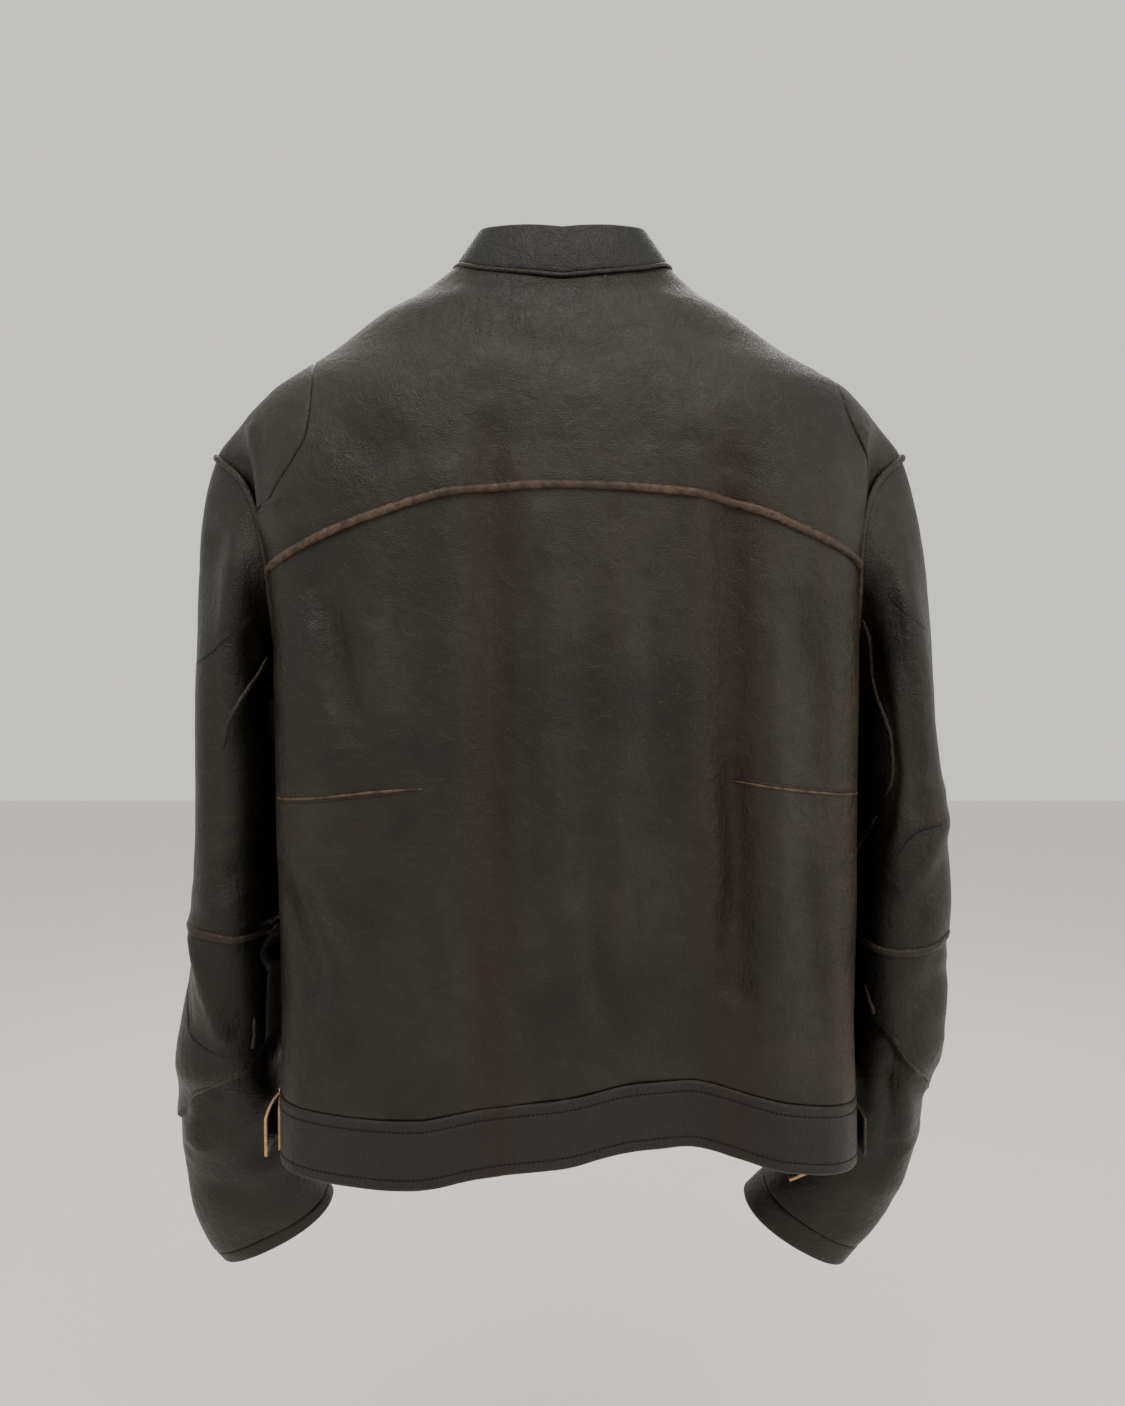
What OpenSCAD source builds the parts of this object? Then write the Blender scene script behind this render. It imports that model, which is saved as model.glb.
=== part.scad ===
// Leather riding jacket, zipped up and hanging by its shoulders.
// Millimetres, +Z up. The wearer's front faces -Y and the wearer's left arm is at +X.
// The origin is the lower edge of the hang loop, inside the back of the neck.

/* [Body] */
// Half of the body's width below the armholes
body_half = 226; // [210:1:240]
// Depth of the body behind its middle plane
back_depth = 100; // [90:1:110]
// Depth of the body in front of its middle plane, at the hem
front_depth = 100; // [90:1:110]
// Drop from the hang loop to the hem
hem_drop = 676; // [650:1:700]
// Height of the waistband
band_h = 53; // [45:1:60]
// Drop from the hang loop to the middle of the back yoke seam
yoke_drop = 157; // [140:1:170]
// Drop to the bottom of the armhole
pit_drop = 305; // [295:1:320]
// Leather thickness, with its backing
leather_t = 3; // [2:0.5:4]
// Lining thickness
lining_t = 1.2; // [0.8:0.1:2]
// Radius of the yoke piping
piping_r = 3; // [2:0.5:4]

/* [Shoulders and collar] */
// Half of the width across the shoulder tips
shoulder_half = 281; // [275:1:290]
// Drop to the shoulder tips
tip_drop = 125; // [115:1:130]
// Half of the neck's width at the shoulder
neck_half = 88; // [80:1:95]
// Height of the stand collar
collar_h = 40; // [35:1:45]
// How far the collar leans in at its top
collar_lean = 16; // [8:1:20]

/* [Zips] */
// Half of the gap between the front panels
zip_gap = 8; // [7:0.5:9]
// Pitch of the main zip's teeth
tooth_pitch = 4; // [3:0.5:5]
// Length of a pocket zip
pocket_len = 140; // [120:5:150]
// Length of a cuff zip
cuff_zip_len = 84; // [70:2:90]

/* [Straps] */
// Height of a side strap
strap_h = 30; // [25:1:34]
// Length of a side strap's free tail
tail_len = 36; // [30:1:40]
// Angle by which the tail stands off the body
tail_flare = 7; // [4:1:9]

/* [Hidden] */

mid_y = -50;                    // the body's middle plane, under the shoulder ridge
band_top = -hem_drop + band_h;  // seam between the body and the waistband
neck_front_z = -50;             // front of the neckline
neck_back_z = 6;                // back of the neckline
neck_side_z = 28;               // neckline on the shoulder
neck_front_depth = 78;          // depth of the body in front of the middle plane, at the front neck
lining_gap = 1.4;               // space between the leather and the lining
fit_gap = 0.4;                  // space between sewn pieces that ride on different bodies
side_seam = 14;                 // section angle of the side seams

// ---- The body's level sections ----
// Each row: height, half width, depth behind the middle plane, squareness
sections = [
    [-hem_drop, body_half, back_depth - 2, 4],
    [-500, body_half, back_depth, 4],
    [-pit_drop, body_half + 2, back_depth, 4],
    [-215, body_half + 14, back_depth, 3.8],
    [-160, body_half + 32, back_depth, 3.5],
    [-tip_drop, shoulder_half, back_depth - 2, 3.2],
    [-95, 262, back_depth - 4, 3],
    [-72, 245, back_depth - 8, 2.9],
    [-58, 229, back_depth - 11, 2.8],
    [-39, 198, back_depth - 17, 2.7],
    [-7, 153, back_depth - 29, 2.6],
    [neck_back_z, 128, 64, 2.6],
    [neck_side_z, neck_half, 61, 2.6]
];
column = function(k) [for (row = sections) [row[0], row[k]]];
half_widths = column(1);
back_depths = column(2);
squareness = column(3);
front_depths = [
    [-hem_drop, front_depth],
    [neck_front_z, neck_front_depth],
    [-5, 50],
    [neck_side_z, 20]
];

function mix(a, b, u) = a + (b - a) * u;
function sign_pow(v, p) = sign(v) * pow(abs(v), p);

// Point of the body's outer face at a section angle and a height, moved out by off.
// 0 degrees is the wearer's left side, 90 the middle of the back and -90 the middle of the front.
function body_point(t, z, off = 0) =
    let (
        power = 2 / lookup(z, squareness),
        depth = sin(t) > 0 ? lookup(z, back_depths) : lookup(z, front_depths)
    )
    [
        (lookup(z, half_widths) + off) * sign_pow(cos(t), power),
        mid_y + (depth + off) * sign_pow(sin(t), power),
        z
    ];

// Section angle at which the body's face is x from the middle
function angle_at(x, z) = acos(pow(x / lookup(z, half_widths), lookup(z, squareness) / 2));

// ---- Seams, as section angles or heights ----
// Edge of the body panels: the side seam, then the armhole, then the shoulder ridge
armhole_edge = [[-pit_drop - 1, side_seam], [-pit_drop, side_seam], [-215, 20], [-160, 18],
                [-140, 13], [-129, 7], [-tip_drop, 0]];
// Seam between the yoke and the shoulder panel
shoulder_low = -172;     // bottom of the shoulder panel, on the armhole
shoulder_high = -39;     // top of the shoulder panel, on the ridge
shoulder_seam = [[shoulder_low, 20], [-165, 33], [-150, 45], [-122, 52], [-100, 51], [-75, 44],
                 [-50, 22], [shoulder_high, 0]];
// Yoke seam, by distance from the middle
yoke_seam = [[0, -yoke_drop], [50, -yoke_drop], [100, -yoke_drop - 6], [145, -yoke_drop - 20],
             [190, -yoke_drop - 38], [226, -yoke_drop - 56]];
// Neckline, by angle from the shoulder
neck_back = [[0, neck_side_z], [30, 24], [60, 16], [90, neck_back_z]];
neck_front = [[0, neck_side_z], [30, 20], [64, -5], [80, -35], [90, neck_front_z]];

function edge_at(z) = z < shoulder_low || z > shoulder_high ? lookup(z, armhole_edge) : lookup(z, shoulder_seam);
function yoke_z(u) = lookup(abs(body_half * sign_pow(cos(mix(side_seam, 180 - side_seam, u)), 0.5)), yoke_seam);
function neck_back_at(u) = lookup(90 - abs(180 * u - 90), neck_back);
function neck_z(t) = lookup(90 - abs(90 - abs(t > 180 ? t - 360 : t)), sin(t) > 0 ? neck_back : neck_front);

// ---- Solids from grids of points ----
function flat_list(grid) = [for (row = grid) each row];

// Two triangles for each cell of a grid, seen clockwise from outside
function cell(a, b, c, d) = [[a, b, c], [a, c, d]];

// Closed slab between the grid P(u, v, out) and the grid P(u, v, in)
module slab(P, nu, nv, out, in) {
    cols = nu + 1;
    half = cols * (nv + 1);
    points = concat(
        flat_list([for (j = [0:nv]) [for (i = [0:nu]) P(i / nu, j / nv, out)]]),
        flat_list([for (j = [0:nv]) [for (i = [0:nu]) P(i / nu, j / nv, in)]])
    );
    at = function(i, j, k) k * half + j * cols + i;
    faces = concat(
        [for (j = [0:nv - 1]) for (i = [0:nu - 1])
            each cell(at(i, j, 0), at(i, j + 1, 0), at(i + 1, j + 1, 0), at(i + 1, j, 0))],
        [for (j = [0:nv - 1]) for (i = [0:nu - 1])
            each cell(at(i, j, 1), at(i + 1, j, 1), at(i + 1, j + 1, 1), at(i, j + 1, 1))],
        [for (i = [0:nu - 1]) each cell(at(i, 0, 0), at(i + 1, 0, 0), at(i + 1, 0, 1), at(i, 0, 1))],
        [for (i = [0:nu - 1]) each cell(at(i, nv, 0), at(i, nv, 1), at(i + 1, nv, 1), at(i + 1, nv, 0))],
        [for (j = [0:nv - 1]) each cell(at(0, j, 0), at(0, j, 1), at(0, j + 1, 1), at(0, j + 1, 0))],
        [for (j = [0:nv - 1]) each cell(at(nu, j, 0), at(nu, j + 1, 0), at(nu, j + 1, 1), at(nu, j, 1))]
    );
    polyhedron(points, faces);
}

// Closed tube with an open bore: the ring R(phi, v, out) outside and R(phi, v, in) inside. v runs downwards
module shell_tube(R, sides, nv, out, in) {
    half = sides * (nv + 1);
    points = concat(
        flat_list([for (j = [0:nv]) [for (i = [0:sides - 1]) R(360 * i / sides, j / nv, out)]]),
        flat_list([for (j = [0:nv]) [for (i = [0:sides - 1]) R(360 * i / sides, j / nv, in)]])
    );
    at = function(i, j, k) k * half + j * sides + (i % sides);
    faces = concat(
        [for (j = [0:nv - 1]) for (i = [0:sides - 1])
            each cell(at(i, j, 0), at(i + 1, j, 0), at(i + 1, j + 1, 0), at(i, j + 1, 0))],
        [for (j = [0:nv - 1]) for (i = [0:sides - 1])
            each cell(at(i, j, 1), at(i, j + 1, 1), at(i + 1, j + 1, 1), at(i + 1, j, 1))],
        [for (i = [0:sides - 1]) each cell(at(i, 0, 0), at(i, 0, 1), at(i + 1, 0, 1), at(i + 1, 0, 0))],
        [for (i = [0:sides - 1]) each cell(at(i, nv, 0), at(i + 1, nv, 0), at(i + 1, nv, 1), at(i, nv, 1))]
    );
    polyhedron(points, faces);
}

// Round cord along the points of a path, with flat ends
module cord(path, r, sides = 8) {
    last = len(path) - 1;
    unit = function(v) v / norm(v);
    ring = function(k)
        let (
            dir = unit(path[min(k + 1, last)] - path[max(k - 1, 0)]),
            side = unit(cross(dir, [0, 0, 1])),
            up = cross(side, dir)
        )
        [for (i = [0:sides - 1]) path[k] + r * (cos(360 * i / sides) * side + sin(360 * i / sides) * up)];
    points = flat_list([for (k = [0:last]) ring(k)]);
    at = function(i, k) k * sides + (i % sides);
    faces = concat(
        [for (k = [0:last - 1]) for (i = [0:sides - 1])
            each cell(at(i, k), at(i + 1, k), at(i + 1, k + 1), at(i, k + 1))],
        [[for (i = [sides - 1:-1:0]) at(i, 0)]],
        [[for (i = [0:sides - 1]) at(i, last)]]
    );
    polyhedron(points, faces);
}

// Right-hand copy of a left-hand piece, or the piece itself
module on_side(side) {
    if (side == "left") children();
    else mirror([1, 0, 0]) children();
}

// ---- Body panels ----
leather = [0.20, 0.18, 0.16];
band_leather = [0.19, 0.19, 0.19];
tan_edge = [0.66, 0.45, 0.26];
piping_brown = [0.36, 0.27, 0.20];
steel = [0.55, 0.54, 0.52];
lining_cloth = [0.12, 0.11, 0.11];

// Panel across the back between the heights low(u) and high(u). edge gives its side edge's angle by height
module back_slab(low, high, nv, edge, out = 0, in = -leather_t, nu = 18) {
    P = function(u, v, off)
        let (e = edge(mix(low(0), high(0), v)))
        body_point(mix(e, 180 - e, u), mix(low(u), high(u), v), off);
    slab(P, nu, nv, out, in);
}

module back_panel() color(leather)
    back_slab(function(u) band_top, function(u) yoke_z(u), 8, function(z) lookup(z, armhole_edge));

module back_yoke() color(leather)
    back_slab(function(u) yoke_z(u), function(u) neck_back_at(u), 16, function(z) edge_at(z));

module yoke_piping() color(piping_brown)
    cord([for (i = [0:30])
        let (u = i / 30, e = lookup(yoke_z(0), armhole_edge))
        body_point(mix(e, 180 - e, u), yoke_z(u), 0.5)], piping_r);

// Two short horizontal welts, from the side seams towards the middle of the back
module waist_welts() color(tan_edge)
    for (side = ["left", "right"]) on_side(side)
        cord([for (i = [0:8])
            let (u = i / 8, z = mix(-388, -376, u))
            body_point(mix(side_seam, angle_at(116, z), u), z, 0.6)], 1.4, 6);

module side_panel(side) color(leather) on_side(side)
    slab(function(u, v, off) body_point(mix(-side_seam, side_seam, u), mix(band_top, -pit_drop, v), off),
         4, 5, 0, -leather_t);

// Stretch of a front panel, from the side seam, armhole or shoulder seam to the zip
module front_slab(low, high, nv) {
    P = function(u, v, off)
        let (z = mix(low, high(u), v))
        body_point(-mix(angle_at(zip_gap, z), edge_at(z), u), z, off);
    slab(P, 14, nv, 0, -leather_t);
}

module front_panel(side) color(leather) on_side(side) {
    front_slab(band_top, function(u) shoulder_low, 7);
    front_slab(shoulder_low, function(u) lookup(90 * (1 - u), neck_front), 12);
}

// Panel over the shoulder, from the front seam to the back seam, around the top of the armhole
module shoulder_panel(side) color(leather) on_side(side)
    for (face = [-1, 1])
        slab(function(u, v, off)
                let (
                    z = mix(shoulder_low, shoulder_high, v),
                    a = lookup(z, armhole_edge),
                    b = lookup(z, shoulder_seam)
                )
                body_point(face * (face > 0 ? mix(a, b, u) : mix(b, a, u)), z, off),
             4, 8, 0, -leather_t);

module waistband_back() color(band_leather)
    back_slab(function(u) -hem_drop, function(u) band_top, 2, function(z) side_seam, 1);

// Front half of the waistband, from the side seam to the zip
module waistband_front(side) color(band_leather) on_side(side)
    slab(function(u, v, off)
            let (z = mix(-hem_drop, band_top, v))
            body_point(mix(-angle_at(zip_gap, z), side_seam, u), z, off),
         14, 2, 1, -leather_t);

// ---- Collar ----
// Point of the collar's outer face: t is the section angle, v goes from the seam to the top edge
function collar_point(t, v, off) =
    let (
        z = neck_z(t),
        base = body_point(t, z, off),
        mid = [0, mid_y - 5, 0],
        out = [base[0], base[1] - mid[1], 0],
        lean = collar_lean * v * (0.35 + 0.65 * pow(abs(cos(t)), 1.5))
    )
    [base[0], base[1], z] - lean * out / norm(out) + [0, 0, collar_h * v * (1 - 0.25 * pow(abs(cos(t)), 2))];

collar_start = -89.3;   // section angle of the collar's end, at the zip

module collar_band(out, in)
    slab(function(u, v, off) collar_point(mix(collar_start, 180 - collar_start, u), mix(0.02, 1, v), off),
         48, 2, out, in);

module collar_shell() color(band_leather) collar_band(0, -2);
module collar_facing() color(leather) collar_band(-2.2, -3.6);
module collar_seam_piping() color(leather)
    cord([for (i = [0:40]) collar_point(mix(collar_start + 2, 178 - collar_start, i / 40), -0.02, 0.6)], 1.6);

// ---- Lining, hang loop and pocket bags ----
lining_out = -leather_t - lining_gap;
lining_in = lining_out - lining_t;

lining_hem = -hem_drop + 12;      // lower edge of the lining

module lining_back() color(lining_cloth) {
    edge = function(z) lookup(z, armhole_edge);
    back_slab(function(u) lining_hem, function(u) shoulder_low, 6, edge, lining_out, lining_in);
    back_slab(function(u) shoulder_low, function(u) neck_back_at(u) - 3, 12, edge, lining_out, lining_in);
}

// Lining of one front and its side, from the zip facing to the side seam
module lining_front(side) color(lining_cloth) on_side(side) {
    slab(function(u, v, off)
            let (z = mix(-pit_drop, lookup(90 * (1 - u), neck_front) - 3, v))
            body_point(-mix(angle_at(zip_gap + 14, z), lookup(z, armhole_edge), u), z, off),
         10, 12, lining_out, lining_in);
    slab(function(u, v, off)
            let (z = mix(lining_hem, -pit_drop, v))
            body_point(mix(-angle_at(zip_gap + 14, z), side_seam, u), z, off),
         12, 4, lining_out, lining_in);
}

loop_r = 50;      // radius of the hang loop's bow
loop_t = 1.6;     // thickness of its strip
loop_h = 7;       // width of its strip
loop_root = 12;   // its sewn ends, behind the middle of the bow

module hang_loop() color(band_leather)
    linear_extrude(loop_h)
        translate([0, loop_r - loop_t / 2]) difference() {
            circle(loop_r, $fn = 96);
            circle(loop_r - loop_t, $fn = 96);
            translate([-loop_r, loop_root - loop_r + loop_t / 2]) square(2 * loop_r);
        }

module pocket_bags() color(lining_cloth)
    for (side = ["left", "right"]) on_side(side) slab(function(u, v, off)
            let (z = mix(-590, -420, v))
            body_point(-mix(angle_at(40, z), angle_at(150, z), u), z, off),
         5, 3, lining_in - 0.4, lining_in - 2.4);

// ---- Zips ----
zip_lean = atan((front_depth - neck_front_depth) / (hem_drop + neck_front_z));
zip_len = (hem_drop + neck_front_z) / cos(zip_lean);
teeth_top = 12;           // first tooth below the neckline
slider_rest = 26;         // slider's middle below the neckline when the zip is closed

// Children stand with +Z up along the front edge and -Y out of the front, from the front neck
module on_front() translate([0, mid_y - neck_front_depth, neck_front_z]) rotate([-zip_lean, 0, 0]) children();

// Toothed edge of one tape: teeth reach past the middle, and the other side's teeth fit between them
module tooth_comb(length, pitch, thick) {
    count = floor(length / pitch);
    rotate([90, 0, 0])
        linear_extrude(thick, center = true)
            polygon(concat(
                [[3.2, -length], [3.2, 0], [1.4, 0]],
                [for (k = [0:count - 1])
                    let (top = -k * pitch)
                    each [[1.4, top - 0.1], [-1.2, top - 0.1 - 0.1 * pitch],
                          [-1.2, top + 0.1 - 0.4 * pitch], [1.4, top + 0.1 - 0.5 * pitch]]],
                [[1.4, -length]]
            ));
}

module main_zip_teeth(side) color(steel) on_front()
    translate([0, 1.6, -teeth_top - (side == "left" ? 0 : tooth_pitch / 2)])
        on_side(side) tooth_comb(zip_len - teeth_top - 10, tooth_pitch, 2.2);

// Cloth tape, sewn behind the front panel's edge, with a bottom stop
module main_zip_tape(side) color(lining_cloth) on_front() on_side(side) {
    translate([3.4, 1.2, -zip_len + 4]) cube([4.2, 0.8, zip_len - 14]);
    translate([1, 0.6, -zip_len + 2]) cube([6, 2.2, 6]);
}

bail_out = 3.4;     // distance of the pull's hinge from the slider's face
pin_r = 0.9;        // radius of the slider's hinge bar
eye_r = 0.96;       // radius of the pull's eye

// Slider: a plate over the teeth, a plate under them when back is true, and a bar for the pull
module slider(width, height, back_at) {
    plate = 1.4;
    hull()
        for (z = [-height / 2 + 2, height / 2 - 3])
            translate([0, 0, z]) rotate([90, 0, 0]) cylinder(plate, r = z > 0 ? width / 2 : width / 2 - 1, $fn = 32);
    if (back_at > 0)
        translate([-width / 2, back_at, -height / 2]) cube([width, plate, height]);
    translate([0, -plate - bail_out, 2]) {
        rotate([0, 90, 0]) cylinder(7, r = pin_r, center = true, $fn = 24);
        for (x = [-1, 1])
            translate([x * 3.4 - 0.5, -pin_r, -1.4]) cube([1, bail_out + pin_r + 0.2, 2.8]);
    }
}

// Pull tab, hanging from the hinge axis at the origin
module pull(length) {
    difference() {
        union() {
            rotate([0, 90, 0]) cylinder(5, r = 2.1, center = true, $fn = 24);
            translate([-2.5, -0.8, -6]) cube([5, 1.6, 5]);
            translate([-4, -0.8, -length]) cube([8, 1.6, length - 5]);
        }
        rotate([0, 90, 0]) cylinder(8, r = eye_r, center = true, $fn = 24);
        translate([0, -3, -length + 5]) rotate([-90, 0, 0]) cylinder(6, r = 2, $fn = 24);
    }
}

module main_zip_slider() color(steel) on_front() translate([0, -0.4, -slider_rest]) slider(11, 14, 4);
module main_zip_pull() color(steel) on_front()
    translate([0, -0.4 - 1.4 - bail_out, -slider_rest + 2]) pull(38);

// Pocket zip: a welted frame on the front panel
pocket_x = 118;      // distance from the middle
pocket_top = -428;   // upper end
pocket_lean = atan(0.981 * (front_depth - neck_front_depth) / (hem_drop + neck_front_z));
pocket_turn = 3.8;   // the panel's turn away from the front, at the pocket

// Children stand with +Z up along the pocket and -Y out of the panel, from the pocket's upper end
module on_pocket()
    translate(body_point(-angle_at(pocket_x, pocket_top), pocket_top, 0.5))
        rotate([-pocket_lean, 0, pocket_turn]) children();

module pocket_zip(side) color(steel) on_side(side) on_pocket() {
    difference() {
        translate([-11, -1.2, -pocket_len - 8]) cube([22, 1.2, pocket_len + 16]);
        translate([-4, -2, -pocket_len]) cube([8, 1.4, pocket_len]);
    }
    for (k = [0:floor(pocket_len / 4) - 1])
        translate([-2.4, -1.5, -4 * k - 3.4]) cube([4.8, 1.1, 2.4]);
}

module pocket_slider(side) color(steel) on_side(side) on_pocket() translate([0, -1.8, -8]) slider(8, 10, 0);
module pocket_pull(side) color(steel) on_side(side) on_pocket()
    translate([0, -1.8 - 1.4 - bail_out, -6]) pull(26);

// ---- Collar tab ----
tab_z = neck_front_z + 24;   // height of the tab's middle
tab_w = 22;                  // height of the tab
tab_y = mid_y - neck_front_depth + 2.2;  // the tab's back face, just clear of the collar
tab_start = 22;              // distance of the tab's sewn end from the middle
tab_reach = 44;              // its length
snap_x = tab_start - tab_reach + tab_w / 2;

module collar_tab() color(band_leather)
    translate([tab_start, tab_y, tab_z]) rotate([90, 0, 0])
        linear_extrude(2.4)
            difference() {
                union() {
                    translate([-tab_reach + tab_w / 2, -tab_w / 2]) square([tab_reach - tab_w / 2, tab_w]);
                    translate([-tab_reach + tab_w / 2, 0]) circle(tab_w / 2, $fn = 48);
                }
                translate([-tab_reach + tab_w / 2, 0]) circle(1.6, $fn = 24);
            }

// Snap cap on the tab, with its post through the tab's hole
module collar_snap_cap() color(steel)
    translate([snap_x, tab_y - 2.4, tab_z]) rotate([90, 0, 0]) {
        cylinder(1.8, r = 6, $fn = 48);
        translate([0, 0, -2.4]) cylinder(2.5, r = 1.5, $fn = 24);
    }

// Snap stud on the collar, behind the tab
module collar_snap_stud() color(steel)
    translate([snap_x, tab_y + 0.4, tab_z]) rotate([-90, 0, 0]) cylinder(2.6, r = 4.5, $fn = 32);

// ---- Side straps ----
strap_z = -hem_drop + band_h / 2;
strap_x = body_half + 1;        // inner face of the strap, on the waistband's side
loop_y = mid_y + 26;            // middle of the metal loop that the strap is threaded through
strap_front = mid_y - 40;       // the strap's sewn end
strap_t = 2;                    // strap thickness
bar_t = 0.8;                    // thickness of the loop's wire
tail_stand = 0.6;               // the tail's extra distance from the body

// Sewn part of the strap, from the front of the waistband back through the loop
module side_strap(side) color(band_leather) on_side(side)
    translate([strap_x, strap_front, strap_z - strap_h / 2]) cube([strap_t, loop_y - strap_front - 0.6, strap_h]);

// Free tail behind the loop, with its raw edge, standing off the body
module strap_tail(side) color(tan_edge) on_side(side)
    translate([strap_x + tail_stand + strap_t / 2, loop_y, strap_z]) rotate([0, 0, -tail_flare])
        translate([-strap_t / 2, 2.2, -strap_h / 2]) cube([strap_t, tail_len - 2.2, strap_h]);

// Flat wire loops around the straps
module strap_loops() color(steel)
    for (side = ["left", "right"]) on_side(side)
        translate([strap_x - bar_t, loop_y - 2.2, strap_z - strap_h / 2 - 1.2 - bar_t])
            difference() {
                cube([strap_t + 0.8 + 2 * bar_t, 3, strap_h + 2.4 + 2 * bar_t]);
                translate([bar_t, -1, bar_t]) cube([strap_t + 0.8, 5, strap_h + 2.4]);
            }

// ---- Sleeves ----
// Each row: centre x, y, z, half width, half depth, tilt down outwards, tilt down backwards
left_stations = [
    [271, -50, -330, 33, 74, 0, 0],
    [272, -48, -420, 34, 72, 0, 0],
    [274, -48, -476, 36, 69, 0, 0],
    [278, -50, -524, 38, 64, 0, 4],
    [284, -60, -590, 44, 56, 3, 8],
    [286, -77, -662, 47, 47, 6, 12],
    [275, -94, -732, 53, 40, 17, 12],
    [260, -101, -772, 54, 36, 24, 12],
    [252, -104, -786, 54, 35, 26, 12]
];
right_stations = [
    [273, -50, -330, 35, 74, 0, 0],
    [280, -48, -420, 41, 72, 0, 0],
    [282, -48, -476, 42, 69, 0, 0],
    [281, -50, -524, 41, 64, 0, 4],
    [281, -60, -590, 39, 56, 3, 8],
    [281, -77, -652, 36, 48, 7, 12],
    [270, -92, -714, 41, 43, 17, 12],
    [228, -103, -765, 50, 38, 30, 12],
    [206, -108, -788, 51, 37, 30, 12]
];
function stations(side) = side == "left" ? left_stations : right_stations;
sleeve_sides = 20;
sleeve_end = 8;      // last row

// Value k of a station table at the position p, in rows
function station(list, p, k) =
    let (i = min(floor(p), len(list) - 2))
    mix(list[i][k], list[i + 1][k], p - i);

// Point of a sleeve's outer face. phi 0 is the outer side, 90 the back and 180 the side next to the body
function sleeve_point(list, phi, p, off) =
    let (
        a = station(list, p, 3) + off,
        b = station(list, p, 4) + off,
        tilt = station(list, p, 5),
        lean = station(list, p, 6),
        across = [cos(tilt), 0, -sin(tilt)],
        deep = [0, cos(lean), -sin(lean)]
    )
    [station(list, p, 0), station(list, p, 1), station(list, p, 2)]
        + a * cos(phi) * across + b * sin(phi) * deep;

// Point of the armhole's edge, at the same angles: 0 at the shoulder tip and 180 in the armpit
function armhole_point(phi, off) =
    let (
        z = mix(-pit_drop, -tip_drop, (1 + cos(phi)) / 2),
        spread = min(1, 2.5 * abs(sin(phi))),
        t = sign(sin(phi)) * lookup(z, armhole_edge) * spread
    )
    body_point(abs(t) < 0.01 ? 0.01 : t, z) + [fit_gap, 0, 0] + off * [cos(phi), sin(phi), 0];

// Stretch of sleeve between two positions, in rows
module sleeve_tube(side, from, to, nv, out = 0, in = -leather_t) on_side(side)
    shell_tube(function(phi, v, off) sleeve_point(stations(side), phi, mix(from, to, v), off),
               sleeve_sides, nv, out, in);

module sleeve_head(side) color(leather) on_side(side)
    shell_tube(function(phi, v, off)
            mix(armhole_point(phi, off), sleeve_point(stations(side), phi, 0, off), v),
        sleeve_sides, 5, 0, -leather_t);

elbow_top = 1.5;        // positions of the elbow panel's seams, in rows
elbow_low = 3.4;
cuff_top = 7.2;
seam_step = 0.01;       // space between sleeve pieces of different bodies, in rows

module upper_sleeve(side) color(leather) sleeve_tube(side, seam_step, elbow_top, 3);
module elbow_panel(side) color(leather) sleeve_tube(side, elbow_top + seam_step, elbow_low, 4);
module forearm(side) color(leather) sleeve_tube(side, elbow_low + seam_step, cuff_top, 8);
module cuff(side) color(band_leather) sleeve_tube(side, cuff_top + 0.02, sleeve_end, 2, 0.8);
module sleeve_lining(side) color(lining_cloth)
    sleeve_tube(side, elbow_low + seam_step, cuff_top, 8, lining_out, lining_in);

// Cuff zip, on the front of the forearm. Children stand with +Z up along the sleeve and -Y out of it
cuff_zip_phi = -90;
function cuff_zip_line(side, off) =
    [for (p = [5.95, 7.95]) sleeve_point(stations(side), cuff_zip_phi, p, off)];
module on_cuff_zip(side) {
    line = cuff_zip_line(side, 1.4);
    dir = line[0] - line[1];
    translate(line[1])
        rotate([0, atan2(dir[0], norm([dir[1], dir[2]])), 0])
            rotate([atan2(-dir[1], dir[2]), 0, 0])
                children();
}

module cuff_zip(side) color(steel) on_side(side) on_cuff_zip(side) {
    translate([-6, 0, 0]) cube([12, 0.8, cuff_zip_len]);
    for (k = [0:floor(cuff_zip_len / 4) - 1])
        translate([-2.4, -1, 4 * k + 1]) cube([4.8, 1, 2.4]);
}

module cuff_slider(side) color(steel) on_side(side) on_cuff_zip(side) translate([0, -1.4, 9]) slider(8, 10, 0);
module cuff_pull(side) color(steel) on_side(side) on_cuff_zip(side)
    translate([0, -1.4 - 1.4 - bail_out, 11]) pull(20);

// ---- Assembly ----
back_yoke();
back_panel();
yoke_piping();
waist_welts();
waistband_back();
collar_shell();
collar_facing();
collar_seam_piping();
lining_back();
hang_loop();
main_zip_slider();
main_zip_pull();
pocket_bags();
strap_loops();
collar_tab();
collar_snap_cap();
collar_snap_stud();
for (side = ["left", "right"]) {
    side_panel(side);
    front_panel(side);
    shoulder_panel(side);
    waistband_front(side);
    lining_front(side);
    main_zip_tape(side);
    main_zip_teeth(side);
    pocket_zip(side);
    pocket_slider(side);
    pocket_pull(side);
    side_strap(side);
    strap_tail(side);
    sleeve_head(side);
    upper_sleeve(side);
    elbow_panel(side);
    forearm(side);
    cuff(side);
    sleeve_lining(side);
    cuff_zip(side);
    cuff_slider(side);
    cuff_pull(side);
}
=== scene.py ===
"""Looks of the hanging leather riding jacket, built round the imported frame.

Numbers are in millimetres in the frame's axes: the wearer's left is +X, the back faces +Y, up is +Z.
Directions round the body are polar angles in degrees: 0 is the wearer's left side, 90 the middle of
the back and -90 the middle of the front. Directions round a sleeve: 0 is its outer side, 90 its back
and 180 the side next to the body.
"""

import math

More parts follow.
